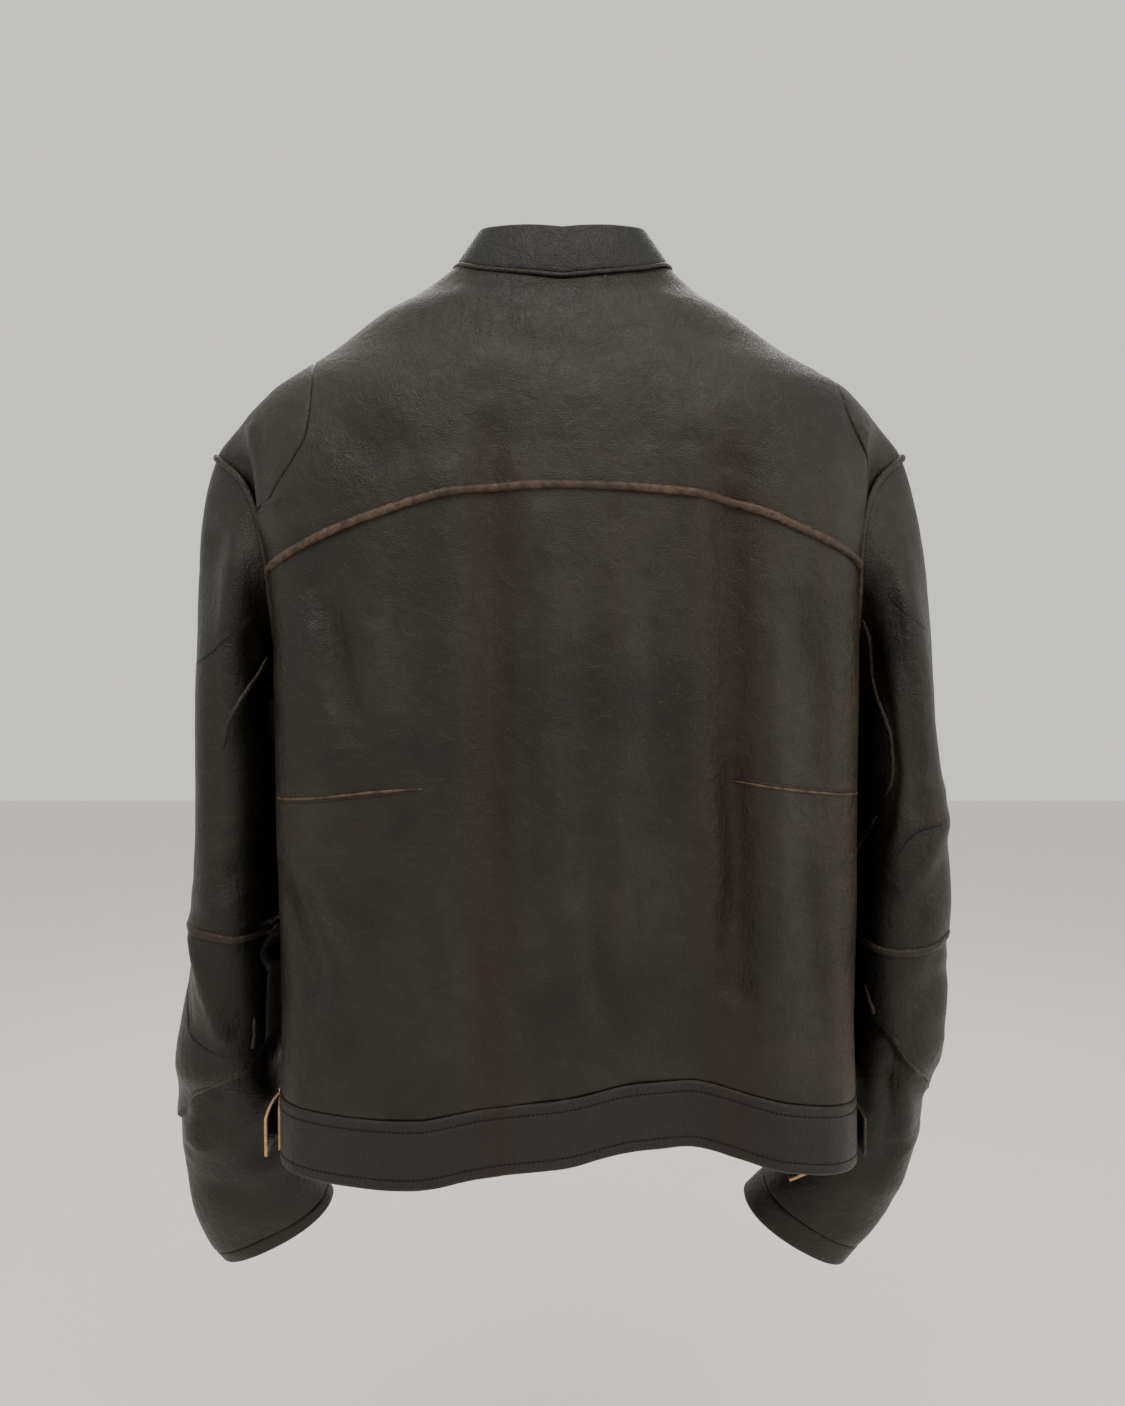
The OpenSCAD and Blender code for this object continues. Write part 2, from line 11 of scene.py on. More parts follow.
import bpy
import numpy as np
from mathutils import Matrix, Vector


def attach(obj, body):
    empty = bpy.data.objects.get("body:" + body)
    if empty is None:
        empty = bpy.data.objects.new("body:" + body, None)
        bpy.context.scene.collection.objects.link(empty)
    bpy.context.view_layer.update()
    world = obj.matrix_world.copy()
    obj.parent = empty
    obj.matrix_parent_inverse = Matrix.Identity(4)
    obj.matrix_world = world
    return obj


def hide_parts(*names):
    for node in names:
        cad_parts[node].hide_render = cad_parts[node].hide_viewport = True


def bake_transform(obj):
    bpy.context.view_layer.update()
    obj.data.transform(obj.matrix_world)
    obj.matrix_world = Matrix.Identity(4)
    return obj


MM = 0.001
GROOVE_HALF, GROOVE_DEPTH = 1.0, 0.8      # a row of stitches sinks into the leather
SIDES = ("left", "right")
SIGN = {"left": 1.0, "right": -1.0}

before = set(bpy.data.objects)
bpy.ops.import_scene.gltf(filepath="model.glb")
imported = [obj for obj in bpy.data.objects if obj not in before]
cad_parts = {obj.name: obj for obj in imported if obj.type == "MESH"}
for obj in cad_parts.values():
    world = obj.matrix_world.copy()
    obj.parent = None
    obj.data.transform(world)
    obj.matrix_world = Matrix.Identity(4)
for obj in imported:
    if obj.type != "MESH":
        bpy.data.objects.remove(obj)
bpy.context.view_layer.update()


# ---------------------------------------------------------------- numbers and curves


def curve(*points):
    """A smooth function through (x, y) points that never overshoots them."""
    xs, ys = np.array(sorted(points), float).T
    step = np.diff(xs)
    slope = np.diff(ys) / step
    tangent = np.zeros(len(xs))
    tangent[0], tangent[-1] = slope[0], slope[-1]
    for i in range(1, len(xs) - 1):
        if slope[i - 1] * slope[i] > 0:
            before = 2 * step[i] + step[i - 1]
            after = step[i] + 2 * step[i - 1]
            tangent[i] = (before + after) / (before / slope[i - 1] + after / slope[i])

    def at(x):
        x = np.clip(np.asarray(x, float), xs[0], xs[-1])
        i = np.clip(np.searchsorted(xs, x, side="right") - 1, 0, len(xs) - 2)
        h = step[i]
        u = (x - xs[i]) / h
        a = ys[i] * (1 + 2 * u) * (1 - u) ** 2 + ys[i + 1] * u * u * (3 - 2 * u)
        return a + h * (tangent[i] * u * (1 - u) ** 2 + tangent[i + 1] * u * u * (u - 1))

    return at


def mix(a, b, u):
    return a + (b - a) * u


def smoothstep(low, high, x):
    u = np.clip((np.asarray(x, float) - low) / (high - low), 0, 1)
    return u * u * (3 - 2 * u)


def unit(v):
    return v / np.maximum(np.linalg.norm(v, axis=-1, keepdims=True), 1e-9)


def hashed(i, j, k, seed):
    value = np.sin(i * 127.1 + j * 311.7 + k * 74.7 + seed * 53.3) * 43758.5453
    return value - np.floor(value)


def noise(p, size, seed=0):
    """Smooth noise from -1 to 1 at the points p. size is its grain in mm, one number or one per axis."""
    q = p / np.asarray(size, float)
    cell = np.floor(q)
    f = q - cell
    f = f * f * (3 - 2 * f)
    total = np.zeros(p.shape[:-1])
    for a in (0, 1):
        for b in (0, 1):
            for c in (0, 1):
                weight = np.abs(1 - a - f[..., 0]) * np.abs(1 - b - f[..., 1]) * np.abs(1 - c - f[..., 2])
                total += weight * hashed(cell[..., 0] + a, cell[..., 1] + b, cell[..., 2] + c, seed)
    return 2 * total - 1


def near_line(a, b, line):
    """Distance of the points (a, b) from a line of (a, b) points."""
    best = np.full(np.shape(a), 1e9)
    for (a0, b0), (a1, b1) in zip(line[:-1], line[1:]):
        da, db = a1 - a0, b1 - b0
        u = np.clip(((a - a0) * da + (b - b0) * db) / (da * da + db * db), 0, 1)
        best = np.minimum(best, np.hypot(a - a0 - u * da, b - b0 - u * db))
    return best


def stroke(a, b, line, width, height):
    """Height of a soft ridge or valley that runs along a line and fades at its ends."""
    ends = np.hypot(a - line[0][0], b - line[0][1]), np.hypot(a - line[-1][0], b - line[-1][1])
    fade = smoothstep(0, 1.6 * width, ends[0]) * smoothstep(0, 1.6 * width, ends[1])
    return height * np.exp(-((near_line(a, b, line) / width) ** 2)) * mix(0.25, 1, fade)


def ledge(a, b, line, height, reach, drop=4.0):
    """Height of a fold that hangs over along a line: it swells on its left and drops off on its right."""
    nearest, side = np.full(np.shape(a), 1e9), np.zeros(np.shape(a))
    for (a0, b0), (a1, b1) in zip(line[:-1], line[1:]):
        da, db = a1 - a0, b1 - b0
        u = np.clip(((a - a0) * da + (b - b0) * db) / (da * da + db * db), 0, 1)
        gap = np.hypot(a - a0 - u * da, b - b0 - u * db)
        left = np.sign(da * (b - b0) - db * (a - a0))
        side = np.where(gap < nearest, left, side)
        nearest = np.minimum(gap, nearest)
    away = nearest * side
    ends = np.hypot(a - line[0][0], b - line[0][1]), np.hypot(a - line[-1][0], b - line[-1][1])
    fade = smoothstep(0, 18, ends[0]) * smoothstep(0, 45, ends[1])
    swell = np.where(away > 0, np.exp(-((away / reach) ** 2)), np.exp(-((away / drop) ** 2)))
    under = np.exp(-(((away + 2.6 * drop) / (2.2 * drop)) ** 2))
    return height * (swell - 0.5 * under) * mix(0.15, 1, fade)


def spread(length, step=4.0, grooves=()):
    """Fractions from 0 to 1 about one step apart, closer together at the edges and at the grooves."""
    near = [0, 0.6, 1.3, 2.2, 3.4]
    inner = length - 2 * near[-1]
    count = max(2, int(round(inner / step)))
    middle = near[-1] + inner * np.arange(1, count) / count
    fine = np.array([g + k * GROOVE_HALF for g in grooves for k in (-1, 0, 1)])
    if len(fine):
        middle = middle[np.min(np.abs(middle[:, None] - fine), axis=1) > 0.7]
    return np.sort(np.concatenate([near, middle, fine, length - np.array(near)])) / length


# ---------------------------------------------------------------- meshes

visual = []          # every piece made here


def new_object(name, points, faces, material, facts=None):
    """Mesh object of points in mm. facts are numbers for each vertex that its material reads."""
    mesh = bpy.data.meshes.new(name)
    mesh.from_pydata((points * MM).tolist(), [], faces)
    mesh.validate()
    mesh.polygons.foreach_set("use_smooth", [True] * len(mesh.polygons))
    place = mesh.attributes.new("place", "FLOAT_VECTOR", "POINT")
    place.data.foreach_set("vector", (points * MM).astype(np.float32).ravel())
    for key, values in (facts or {}).items():
        layer = mesh.attributes.new(key, "FLOAT", "POINT")
        layer.data.foreach_set("value", np.asarray(values, np.float32).ravel())
    mesh.materials.append(material)
    mesh.update()
    obj = bpy.data.objects.new(name, mesh)
    bpy.context.scene.collection.objects.link(obj)
    visual.append(obj)
    return obj


def grid_normals(p, closed=False):
    """Unit normals of a grid of points, on the side where columns run to the right as rows run up."""
    if closed:
        du = np.roll(p, -1, axis=1) - np.roll(p, 1, axis=1)
    else:
        du = np.gradient(p, axis=1)
    return unit(np.cross(du, np.gradient(p, axis=0)))


def edge_distance(p):
    """For each point of a grid, its distance along the grid from the four edges: low, high, start, end."""
    def run(axis):
        legs = np.linalg.norm(np.diff(p, axis=axis), axis=-1)
        pad = [(1, 0), (0, 0)] if axis == 0 else [(0, 0), (1, 0)]
        return np.cumsum(np.pad(legs, pad), axis=axis)
    up, across = run(0), run(1)
    return up, up[-1:] - up, across, across[:, -1:] - across


def rolled(distance, depth=1.5, reach=2.4):
    """How far a panel's face turns in near its seam."""
    return depth * (1 - np.clip(distance / reach, 0, 1)) ** 2


def shell_faces(rows, cols, closed):
    """Faces of a closed shell of two grids, outer points first."""
    at = np.arange(2 * rows * cols).reshape(2, rows, cols)
    if closed:
        at = np.concatenate([at, at[:, :, :1]], axis=2)
    out, back = at
    quads = [
        np.stack([out[:-1, :-1], out[:-1, 1:], out[1:, 1:], out[1:, :-1]], -1).reshape(-1, 4),
        np.stack([back[:-1, :-1], back[1:, :-1], back[1:, 1:], back[:-1, 1:]], -1).reshape(-1, 4),
        np.stack([out[0, 1:], out[0, :-1], back[0, :-1], back[0, 1:]], -1),
        np.stack([out[-1, :-1], out[-1, 1:], back[-1, 1:], back[-1, :-1]], -1),
    ]
    if not closed:
        quads.append(np.stack([out[:-1, 0], out[1:, 0], back[1:, 0], back[:-1, 0]], -1))
        quads.append(np.stack([out[1:, -1], out[:-1, -1], back[:-1, -1], back[1:, -1]], -1))
    return np.concatenate(quads).tolist()


LEAST_FILLED = 0.3       # the least share of width times length that a cut's area may be


def run_length(p, closed=False):
    """Longest row of a grid, in metres."""
    line = np.concatenate([p, p[:, :1]], 1) if closed else p
    return np.linalg.norm(np.diff(line, axis=1), axis=2).sum(1).max() / 1000


def cut_size(p, closed=False):
    """Flat width, length and area of the sheet with this face, in metres.
"""
    width = run_length(p, closed)
    length = run_length(p.transpose(1, 0, 2))
    line = np.concatenate([p, p[:, :1]], 1) if closed else p
    a, b, c, d = line[:-1, :-1], line[:-1, 1:], line[1:, 1:], line[1:, :-1]
    area = np.linalg.norm(np.cross(c - a, d - b), axis=2).sum() / 2e6
    area = float(np.clip(area, LEAST_FILLED * width * length, width * length))
    return width, length, area


def panel(name, p, material, thick=2.4, closed=False, seams="lhse", depth=1.5, facts=None, rim=None,
          grooves=()):
    """Closed panel with the outer face on the grid p, its seamed edges turned in.

    seams names the edges that are sewn: l low, h high, s start, e end. rim is the cut edges' material.
    grooves are (edge, distance) pairs where stitches sink in."""
    normal = grid_normals(p, closed)
    face = p.copy()
    if seams:
        edges = dict(zip("lhse", edge_distance(p)))
        turn = np.max([rolled(edges[k], depth) for k in seams if not (closed and k in "se")], axis=0)
        face = p - normal * turn[..., None]
    for edge, distance in grooves:
        away = dict(zip("lhse", edge_distance(p)))[edge] - distance
        face = face - normal * (GROOVE_DEPTH * np.exp(-((away / GROOVE_HALF) ** 2)))[..., None]
    inner = p - normal * thick
    points = np.concatenate([face.reshape(-1, 3), inner.reshape(-1, 3)])
    rows, cols = p.shape[:2]
    if facts:
        facts = {key: np.concatenate([v.ravel(), v.ravel()]) for key, v in facts.items()}
    obj = new_object(name, points, shell_faces(rows, cols, closed), material, facts)
    width, length, area = cut_size(p, closed)
    if rim:
        obj.data.materials.append(rim)
        faces = 2 * (rows - 1) * (cols if closed else cols - 1)
        for face in obj.data.polygons[faces:]:
            face.material_index = 1
    return obj


def inset(p, edge, distance, closed=False, sink=0.3):
    """Path at a distance from one edge of a grid, with its normals: l low, h high, s start, e end."""
    normal = grid_normals(p, closed)
    if edge in "se":
        p, normal = p.transpose(1, 0, 2), normal.transpose(1, 0, 2)
    if edge in "he":
        p, normal = p[::-1], normal[::-1]
    legs = np.linalg.norm(np.diff(p, axis=0), axis=-1)
    run = np.concatenate([np.zeros((1, legs.shape[1])), np.cumsum(legs, axis=0)])
    columns = range(p.shape[1])
    path = [[np.interp(distance, run[:, j], p[:, j, k]) for k in range(3)] for j in columns]
    up = [[np.interp(distance, run[:, j], normal[:, j, k]) for k in range(3)] for j in columns]
    path, up = np.array(path) - sink * np.array(up), np.array(up)
    if closed:
        path, up = np.concatenate([path, path[:1]]), np.concatenate([up, up[:1]])
    return path, up


def frames_along(path, up):
    """Side and up directions along a path, from a rough up direction at each point."""
    along = unit(np.gradient(path, axis=0))
    side = unit(np.cross(along, up))
    return along, side, np.cross(side, along)


def tube_points(path, up, width, height, sides=10):
    """Rings of an oval cord: half width beside the path, half height along up."""
    _, side, lift = frames_along(path, up)
    angle = np.arange(sides) * 2 * math.pi / sides
    ring_side = np.cos(angle)[None, :, None] * side[:, None] * np.reshape(width, (-1, 1, 1))
    ring_lift = np.sin(angle)[None, :, None] * lift[:, None] * np.reshape(height, (-1, 1, 1))
    return path[:, None] + ring_side + ring_lift


def tube_faces(rows, sides, first=0):
    at = first + np.arange(rows * sides).reshape(rows, sides)
    at = np.concatenate([at, at[:, :1]], axis=1)
    quads = np.stack([at[:-1, :-1], at[:-1, 1:], at[1:, 1:], at[1:, :-1]], -1).reshape(-1, 4).tolist()
    return quads + [at[0, :-1][::-1].tolist(), at[-1, :-1].tolist()]


def welt(name, path, up, radius, material, height=None, pucker=0.12, taper=8.0, facts=None):
    """Piping cord along a path, narrowing at both ends, with small puckers from its stitches."""
    legs = np.linalg.norm(np.diff(path, axis=0), axis=1)
    run = np.concatenate([[0], np.cumsum(legs)])
    total = run[-1]
    count = max(6, int(total / 2.2))
    at = np.linspace(0, total, count)
    line = np.stack([np.interp(at, run, path[:, k]) for k in range(3)], 1)
    lift = unit(np.stack([np.interp(at, run, up[:, k]) for k in range(3)], 1))
    ends = np.minimum(at, total - at)
    size = mix(0.35, 1, smoothstep(0, taper, ends)) if taper else np.ones(count)
    size = size * (1 + pucker * noise(line, 5.0, 3))
    rings = tube_points(line, lift, radius * size, (height or radius) * size)
    rows, sides = rings.shape[:2]
    if facts:
        facts = {key: np.repeat(f(line), sides) for key, f in facts.items()}
    return new_object(name, rings.reshape(-1, 3), tube_faces(rows, sides), material, facts)


def stitches(name, rows, material, pitch=3.6, length=2.5, radius=0.42):
    """Rows of thread stitches. Each row is a pair: path points and the face's normals there."""
    all_points, all_faces = [], []
    sides = 6
    profile = ((-0.5, 0.35), (-0.42, 0.85), (0.0, 1.1), (0.42, 0.85), (0.5, 0.35))
    for path, up in rows:
        legs = np.linalg.norm(np.diff(path, axis=0), axis=1)
        run = np.concatenate([[0], np.cumsum(legs)])
        count = max(1, int(run[-1] / pitch))
        mid = (np.arange(count) + 0.5) * run[-1] / count
        at = np.stack([np.interp(mid, run, path[:, k]) for k in range(3)], 1)
        ahead = np.stack([np.interp(mid + 0.5, run, path[:, k]) for k in range(3)], 1)
        behind = np.stack([np.interp(mid - 0.5, run, path[:, k]) for k in range(3)], 1)
        lift = unit(np.stack([np.interp(mid, run, up[:, k]) for k in range(3)], 1))
        along = unit(ahead - behind)
        side = unit(np.cross(along, lift))
        lift = np.cross(side, along)
        angle = np.arange(sides) * 2 * math.pi / sides
        for k in range(count):
            first = len(all_points) * len(profile) * sides
            rings = [
                at[k] + along[k] * length * s
                + radius * r * (np.cos(angle)[:, None] * side[k] + np.sin(angle)[:, None] * lift[k])
                - lift[k] * radius * (0.1 + 1.6 * abs(s))
                for s, r in profile
            ]
            all_points.append(np.concatenate(rings))
            all_faces += tube_faces(len(profile), sides, first)
    return new_object(name, np.concatenate(all_points), all_faces, material)


# ---------------------------------------------------------------- materials


class Shader:
    """Small helper to write a node material."""

    def __init__(self, name):
        self.material = bpy.data.materials.new(name)
        self.material.use_nodes = True
        self.tree = self.material.node_tree
        self.tree.nodes.clear()
        self.surface = self.node("ShaderNodeBsdfPrincipled")
        output = self.node("ShaderNodeOutputMaterial")
        self.tree.links.new(self.surface.outputs[0], output.inputs[0])

    def node(self, kind, **settings):
        made = self.tree.nodes.new(kind)
        for key, value in settings.items():
            setattr(made, key, value)
        return made

    def feed(self, socket, value):
        if isinstance(value, bpy.types.NodeSocket):
            self.tree.links.new(value, socket)
        else:
            socket.default_value = value

    def fact(self, name):
        """A per-vertex number or vector of the mesh."""
        made = self.node("ShaderNodeAttribute", attribute_name=name)
        return made.outputs["Vector" if name == "place" else "Fac"]

    def object_place(self):
        return self.node("ShaderNodeTexCoord").outputs["Object"]

    def noise(self, place, scale, detail=3.0, rough=0.5, stretch=None, distort=0.0):
        if stretch:
            mapping = self.node("ShaderNodeMapping")
            self.feed(mapping.inputs["Vector"], place)
            mapping.inputs["Scale"].default_value = stretch
            place = mapping.outputs[0]
        made = self.node("ShaderNodeTexNoise")
        self.feed(made.inputs["Vector"], place)
        self.feed(made.inputs["Scale"], scale)
        self.feed(made.inputs["Detail"], detail)
        self.feed(made.inputs["Roughness"], rough)
        self.feed(made.inputs["Distortion"], distort)
        return made.outputs["Fac"]

    def cells(self, place, scale, feature="DISTANCE_TO_EDGE"):
        made = self.node("ShaderNodeTexVoronoi", feature=feature)
        self.feed(made.inputs["Vector"], place)
        self.feed(made.inputs["Scale"], scale)
        return made.outputs["Distance"]

    def math(self, operation, a, b=0.0):
        made = self.node("ShaderNodeMath", operation=operation)
        self.feed(made.inputs[0], a)
        self.feed(made.inputs[1], b)
        return made.outputs[0]

    def ramp(self, value, low, high, to_low=0.0, to_high=1.0):
        made = self.node("ShaderNodeMapRange", interpolation_type="SMOOTHSTEP")
        self.feed(made.inputs["Value"], value)
        for key, number in zip(("From Min", "From Max", "To Min", "To Max"), (low, high, to_low, to_high)):
            self.feed(made.inputs[key], number)
        return made.outputs["Result"]

    def blend(self, factor, a, b):
        """Colour a where factor is 0 and b where it is 1."""
        made = self.node("ShaderNodeMix", data_type="RGBA")
        self.feed(made.inputs[0], factor)
        for socket, value in ((made.inputs[6], a), (made.inputs[7], b)):
            self.feed(socket, (*value, 1.0) if isinstance(value, tuple) else value)
        return made.outputs[2]

    def bump(self, height, distance, strength=1.0, below=None):
        made = self.node("ShaderNodeBump")
        self.feed(made.inputs["Height"], height)
        self.feed(made.inputs["Distance"], distance)
        self.feed(made.inputs["Strength"], strength)
        if below is not None:
            self.feed(made.inputs["Normal"], below)
        return made.outputs[0]

    def finish(self, colour, rough, metallic=0.0, normal=None, specular=0.5, sheen=0.0):
        self.feed(self.surface.inputs["Base Color"], colour)
        self.feed(self.surface.inputs["Roughness"], rough)
        self.feed(self.surface.inputs["Metallic"], metallic)
        self.feed(self.surface.inputs["Specular IOR Level"], specular)
        if normal is not None:
            self.feed(self.surface.inputs["Normal"], normal)
        if sheen:
            self.feed(self.surface.inputs["Sheen Weight"], sheen)
            self.feed(self.surface.inputs["Sheen Roughness"], 0.5)
        return self.material


def leather_material(name, dark, light, red, rub, rough=0.46, grain=1.0, cad=False):
    """Waxed leather: broad dark and light areas, brown rub-off where the wear fact is high, fine grain, and
    painted shade: near black with little sheen where the shade fact is high.
    """
    s = Shader(name)
    place = s.object_place() if cad else s.fact("place")
    broad = s.noise(place, 9.0, 3.0, 0.55)
    mottle = s.noise(place, 55.0, 4.0, 0.6, distort=0.4)
    fine = s.noise(place, 420.0, 2.0, 0.6)
    base = s.blend(s.ramp(broad, 0.32, 0.68), dark, light)
    base = s.blend(s.ramp(mottle, 0.35, 0.75, 0.0, 0.5), base, dark)
    base = s.blend(s.math("MULTIPLY", s.fact("tone"), s.ramp(mottle, 0.2, 0.8, 0.75, 1.0)), base, red)
    scuff = s.math("MULTIPLY", s.fact("wear"), s.ramp(s.noise(place, 160.0, 5.0, 0.7), 0.25, 0.75))
    base = s.blend(s.math("MINIMUM", scuff, 1.0), base, rub)
    # Painted shade: the shade fact turns the colour near black and, at the Specular input below, cuts the
    # sheen, standing in for the shade between sleeve and body.
    painted_shade = s.fact("painted_shade")
    base = s.blend(painted_shade, base, (0.0022, 0.0020, 0.0018))
    roughness = s.math("ADD", s.ramp(broad, 0.3, 0.7, rough - 0.05, rough + 0.05),
                       s.ramp(fine, 0.3, 0.7, -0.05, 0.05))
    creases = s.noise(place, 75.0, 6.0, 0.62, distort=0.8)
    drawn = s.noise(place, 130.0, 4.0, 0.6, stretch=(1.0, 1.0, 0.3), distort=0.5)
    normal = s.bump(creases, 0.0026, 0.7 * grain)
    normal = s.bump(drawn, 0.0014, 0.7 * grain, normal)
    normal = s.bump(s.cells(place, 480.0), 0.0008, 0.7 * grain, normal)
    return s.finish(base, roughness, normal=normal, specular=s.ramp(painted_shade, 0.0, 1.0, 0.28, 0.05))


def thread_material():
    s = Shader("thread")
    twist = s.noise(s.fact("place"), 900.0, 2.0, 0.5)
    return s.finish(s.blend(twist, (0.0028, 0.0026, 0.0024), (0.0080, 0.0070, 0.0060)), 0.7, specular=0.2)


def raw_edge_material():
    """Undyed leather at a cut edge."""
    s = Shader("raw_edge")
    fibre = s.noise(s.fact("place"), 600.0, 5.0, 0.7)
    colour = s.blend(s.ramp(fibre, 0.3, 0.7), (0.26, 0.13, 0.05), (0.58, 0.36, 0.17))
    return s.finish(colour, 0.7, normal=s.bump(fibre, 0.0004, 0.5))


def lining_material():
    """Dark satin lining with a fine twill."""
    s = Shader("lining_satin")
    place = s.fact("place")
    twill = s.node("ShaderNodeTexWave", wave_type="BANDS", bands_direction="DIAGONAL")
    s.feed(twill.inputs["Vector"], place)
    s.feed(twill.inputs["Scale"], 320.0)
    folds = s.noise(place, 22.0, 3.0, 0.5, stretch=(1.0, 1.0, 0.35))
    colour = s.blend(s.ramp(folds, 0.3, 0.7), (0.016, 0.015, 0.017), (0.034, 0.030, 0.031))
    normal = s.bump(twill.outputs["Fac"], 0.0002, 0.3, s.bump(folds, 0.004, 0.6))
    return s.finish(colour, 0.45, normal=normal, sheen=0.25)


def tape_material():
    """Woven zip tape."""
    s = Shader("zip_tape_cad")
    place = s.object_place()
    weave = s.cells(place, 900.0, "F1")
    colour = s.blend(s.ramp(weave, 0.1, 0.8), (0.020, 0.018, 0.017), (0.009, 0.008, 0.008))
    return s.finish(colour, 0.8, normal=s.bump(weave, 0.0003, 0.5))


def metal_material(name, bright, dull, rough):
    """Aged metal with a mottled polish and fine scratches."""
    s = Shader(name)
    place = s.object_place()
    patina = s.noise(place, 140.0, 4.0, 0.6)
    scratch = s.noise(place, 500.0, 2.0, 0.6, stretch=(1.0, 1.0, 0.12))
    colour = s.blend(s.ramp(patina, 0.35, 0.65), bright, dull)
    roughness = s.math("ADD", s.ramp(patina, 0.3, 0.7, rough, rough + 0.14),
                       s.ramp(scratch, 0.3, 0.7, -0.04, 0.06))
    return s.finish(colour, roughness, metallic=1.0, normal=s.bump(scratch, 0.00006, 0.5))


BROWN = (0.105, 0.058, 0.028)
RED = (0.0150, 0.0066, 0.0034)
leather = leather_material("jacket_leather", (0.0088, 0.0074, 0.0050), (0.0225, 0.0190, 0.0130), RED, BROWN)
trim = leather_material("trim_leather", (0.0088, 0.0089, 0.0086), (0.0145, 0.0146, 0.0140), RED, BROWN, 0.5)
trim_cad = leather_material("trim_leather_cad", (0.0088, 0.0089, 0.0086), (0.0145, 0.0146, 0.0140), RED,
                            BROWN,
                            0.5, cad=True)
piping_leather = leather_material("piping_leather", (0.014, 0.010, 0.007), (0.022, 0.015, 0.010), RED,
                                  (0.125, 0.080, 0.048), 0.5, 0.7)
thread = thread_material()
raw_edge = raw_edge_material()
satin = lining_material()
tape_cad = tape_material()
nickel = metal_material("aged_nickel", (0.62, 0.58, 0.52), (0.36, 0.33, 0.29), 0.30)


# ---------------------------------------------------------------- the body's shape

MID_Y = -50.0          # middle plane of the body, under the shoulder ridge
HEM, BAND_TOP, PIT = -676.0, -623.0, -305.0
RING_TOP = -120.0      # top of the armhole
RING_HALF = 50.0       # half of the armhole's width
NECK_SIDE, NECK_FRONT = 28.0, -50.0
SHOULDER_LOW, SHOULDER_HIGH = -172.0, -39.0

edge_x = {
    "left": curve((-676, 222), (-622, 221.5), (-549, 221), (-389, 224), (-276, 224), (-218, 228), (-175, 234),
                  (-137, 240), (-104, 246), (-88, 244), (-72, 235), (-58, 217), (-39, 187), (-7, 144),
                  (6, 119), (28, 85)),
    "right": curve((-676, 233), (-622, 232), (-549, 230), (-387, 230), (-276, 229.5), (-209, 230),
                   (-175, 232),
                   (-137, 236), (-104, 240), (-88, 239), (-72, 231), (-58, 210), (-39, 178), (-7, 134),
                   (6, 112), (28, 85)),
}
back_depth = curve((-676, 98), (-500, 100), (-215, 100), (-160, 100), (-125, 98), (-95, 96), (-72, 92),
                   (-58, 89),
                   (-39, 83), (-7, 71), (6, 64), (28, 61))
square_back = curve((-676, 6), (-305, 6), (-215, 5), (-160, 4.2), (-125, 3.4), (-95, 2.8), (-72, 2.4),
                    (-58, 2.2),
                    (-39, 2.05), (6, 2.05), (28, 2.25))
square_front = curve((-676, 4), (-305, 4), (-215, 3.8), (-160, 3.5), (-125, 3.2), (-95, 3), (-72, 2.9),
                     (-39, 2.7),
                     (28, 2.6))
# How far the shoulder's cap reaches out past the fold of the back
cap_reach = curve((-300, 0), (-260, 10), (-200, 36), (-160, 46), (-135, 44), (-120, 37), (-95, 15), (-72, 0),
                  (-40, 0), (28, 0))
CAP_HALF = 30.0

# The back hangs in soft vertical folds: their height across the back, and how strong they are by height
fold_across = curve((-226, 0), (-200, 4), (-170, 4), (-130, -10), (-98, -16), (-60, -8), (0, 0), (40, 2),
                    (115, 9),
                    (190, 2), (226, 0))
fold_by_height = curve((-676, 1), (-380, 0.35), (-157, 0.15), (-100, 0), (30, 0))
hem_shift = curve((-226, 0), (-185, 5), (-145, 11), (-95, 20), (-60, 20), (0, 10), (60, 4), (115, -3),
                  (170, -2),
                  (226, 2))
# Ridges and valleys of the back: line of (x, z), width and height
BACK_FOLDS = (
    (((56, -95), (52, -200), (46, -300), (52, -380), (46, -470), (40, -560)), 15, -6.5),
    (((88, -130), (84, -230), (80, -330), (92, -420), (96, -520), (104, -600)), 17, 4.5),
    (((14, -160), (10, -260), (12, -360), (4, -440)), 15, 3.5),
    (((-122, -150), (-126, -260), (-124, -360), (-131, -450), (-128, -560)), 14, -8.0),
    (((-128, -350), (-132, -430), (-126, -500)), 10, -4.0),
    (((-96, -120), (-98, -220), (-96, -330), (-100, -430)), 15, 4.5),
    (((-152, -240), (-156, -340), (-158, -440), (-150, -560)), 14, 4.0),
    (((-40, -180), (-42, -320), (-36, -470), (-30, -600)), 18, 3.5),
    (((-20, -420), (-24, -520), (-40, -600)), 12, -4.5),
    (((10, -330), (2, -440), (-14, -560), (-24, -610)), 15, 3.5),
    (((70, -470), (64, -540), (60, -610)), 12, -4.0),
    (((160, -400), (150, -480), (140, -560)), 14, -4.0),
    (((198, -430), (178, -500), (172, -560)), 12, 4.5),
    (((190, -210), (176, -260), (168, -330)), 13, -4.0),
    (((-170, -220), (-182, -300), (-186, -380)), 13, -3.5),
    (((160, -60), (120, -95), (80, -125)), 20, 2.0),
    (((190, -90), (150, -120), (120, -150)), 16, -2.5),
    (((-150, -75), (-115, -105), (-80, -125)), 20, 1.4),
    (((30, -60), (36, -100), (40, -140)), 14, -3.0),
    (((-50, -60), (-54, -100), (-56, -140)), 14, -3.0),
    (((60, -30), (20, -55), (-30, -60), (-70, -35)), 15, -2.0),
    (((176, -232), (164, -280), (152, -335)), 9, -4.5),
    (((190, -250), (182, -300), (168, -345)), 9, 3.5),
    (((142, -250), (132, -300), (128, -350)), 10, 3.0),
    (((214, -450), (196, -500), (176, -545)), 9, -5.0),
    (((200, -440), (180, -478), (158, -520)), 9, 3.5),
    (((118, -395), (108, -460), (100, -520)), 9, -3.0),
    (((-178, -430), (-186, -500), (-190, -570)), 10, -3.0),
    (((-60, -210), (-66, -300), (-62, -380)), 10, -3.0),
    (((24, -230), (20, -300), (26, -370)), 8, -2.5),
)


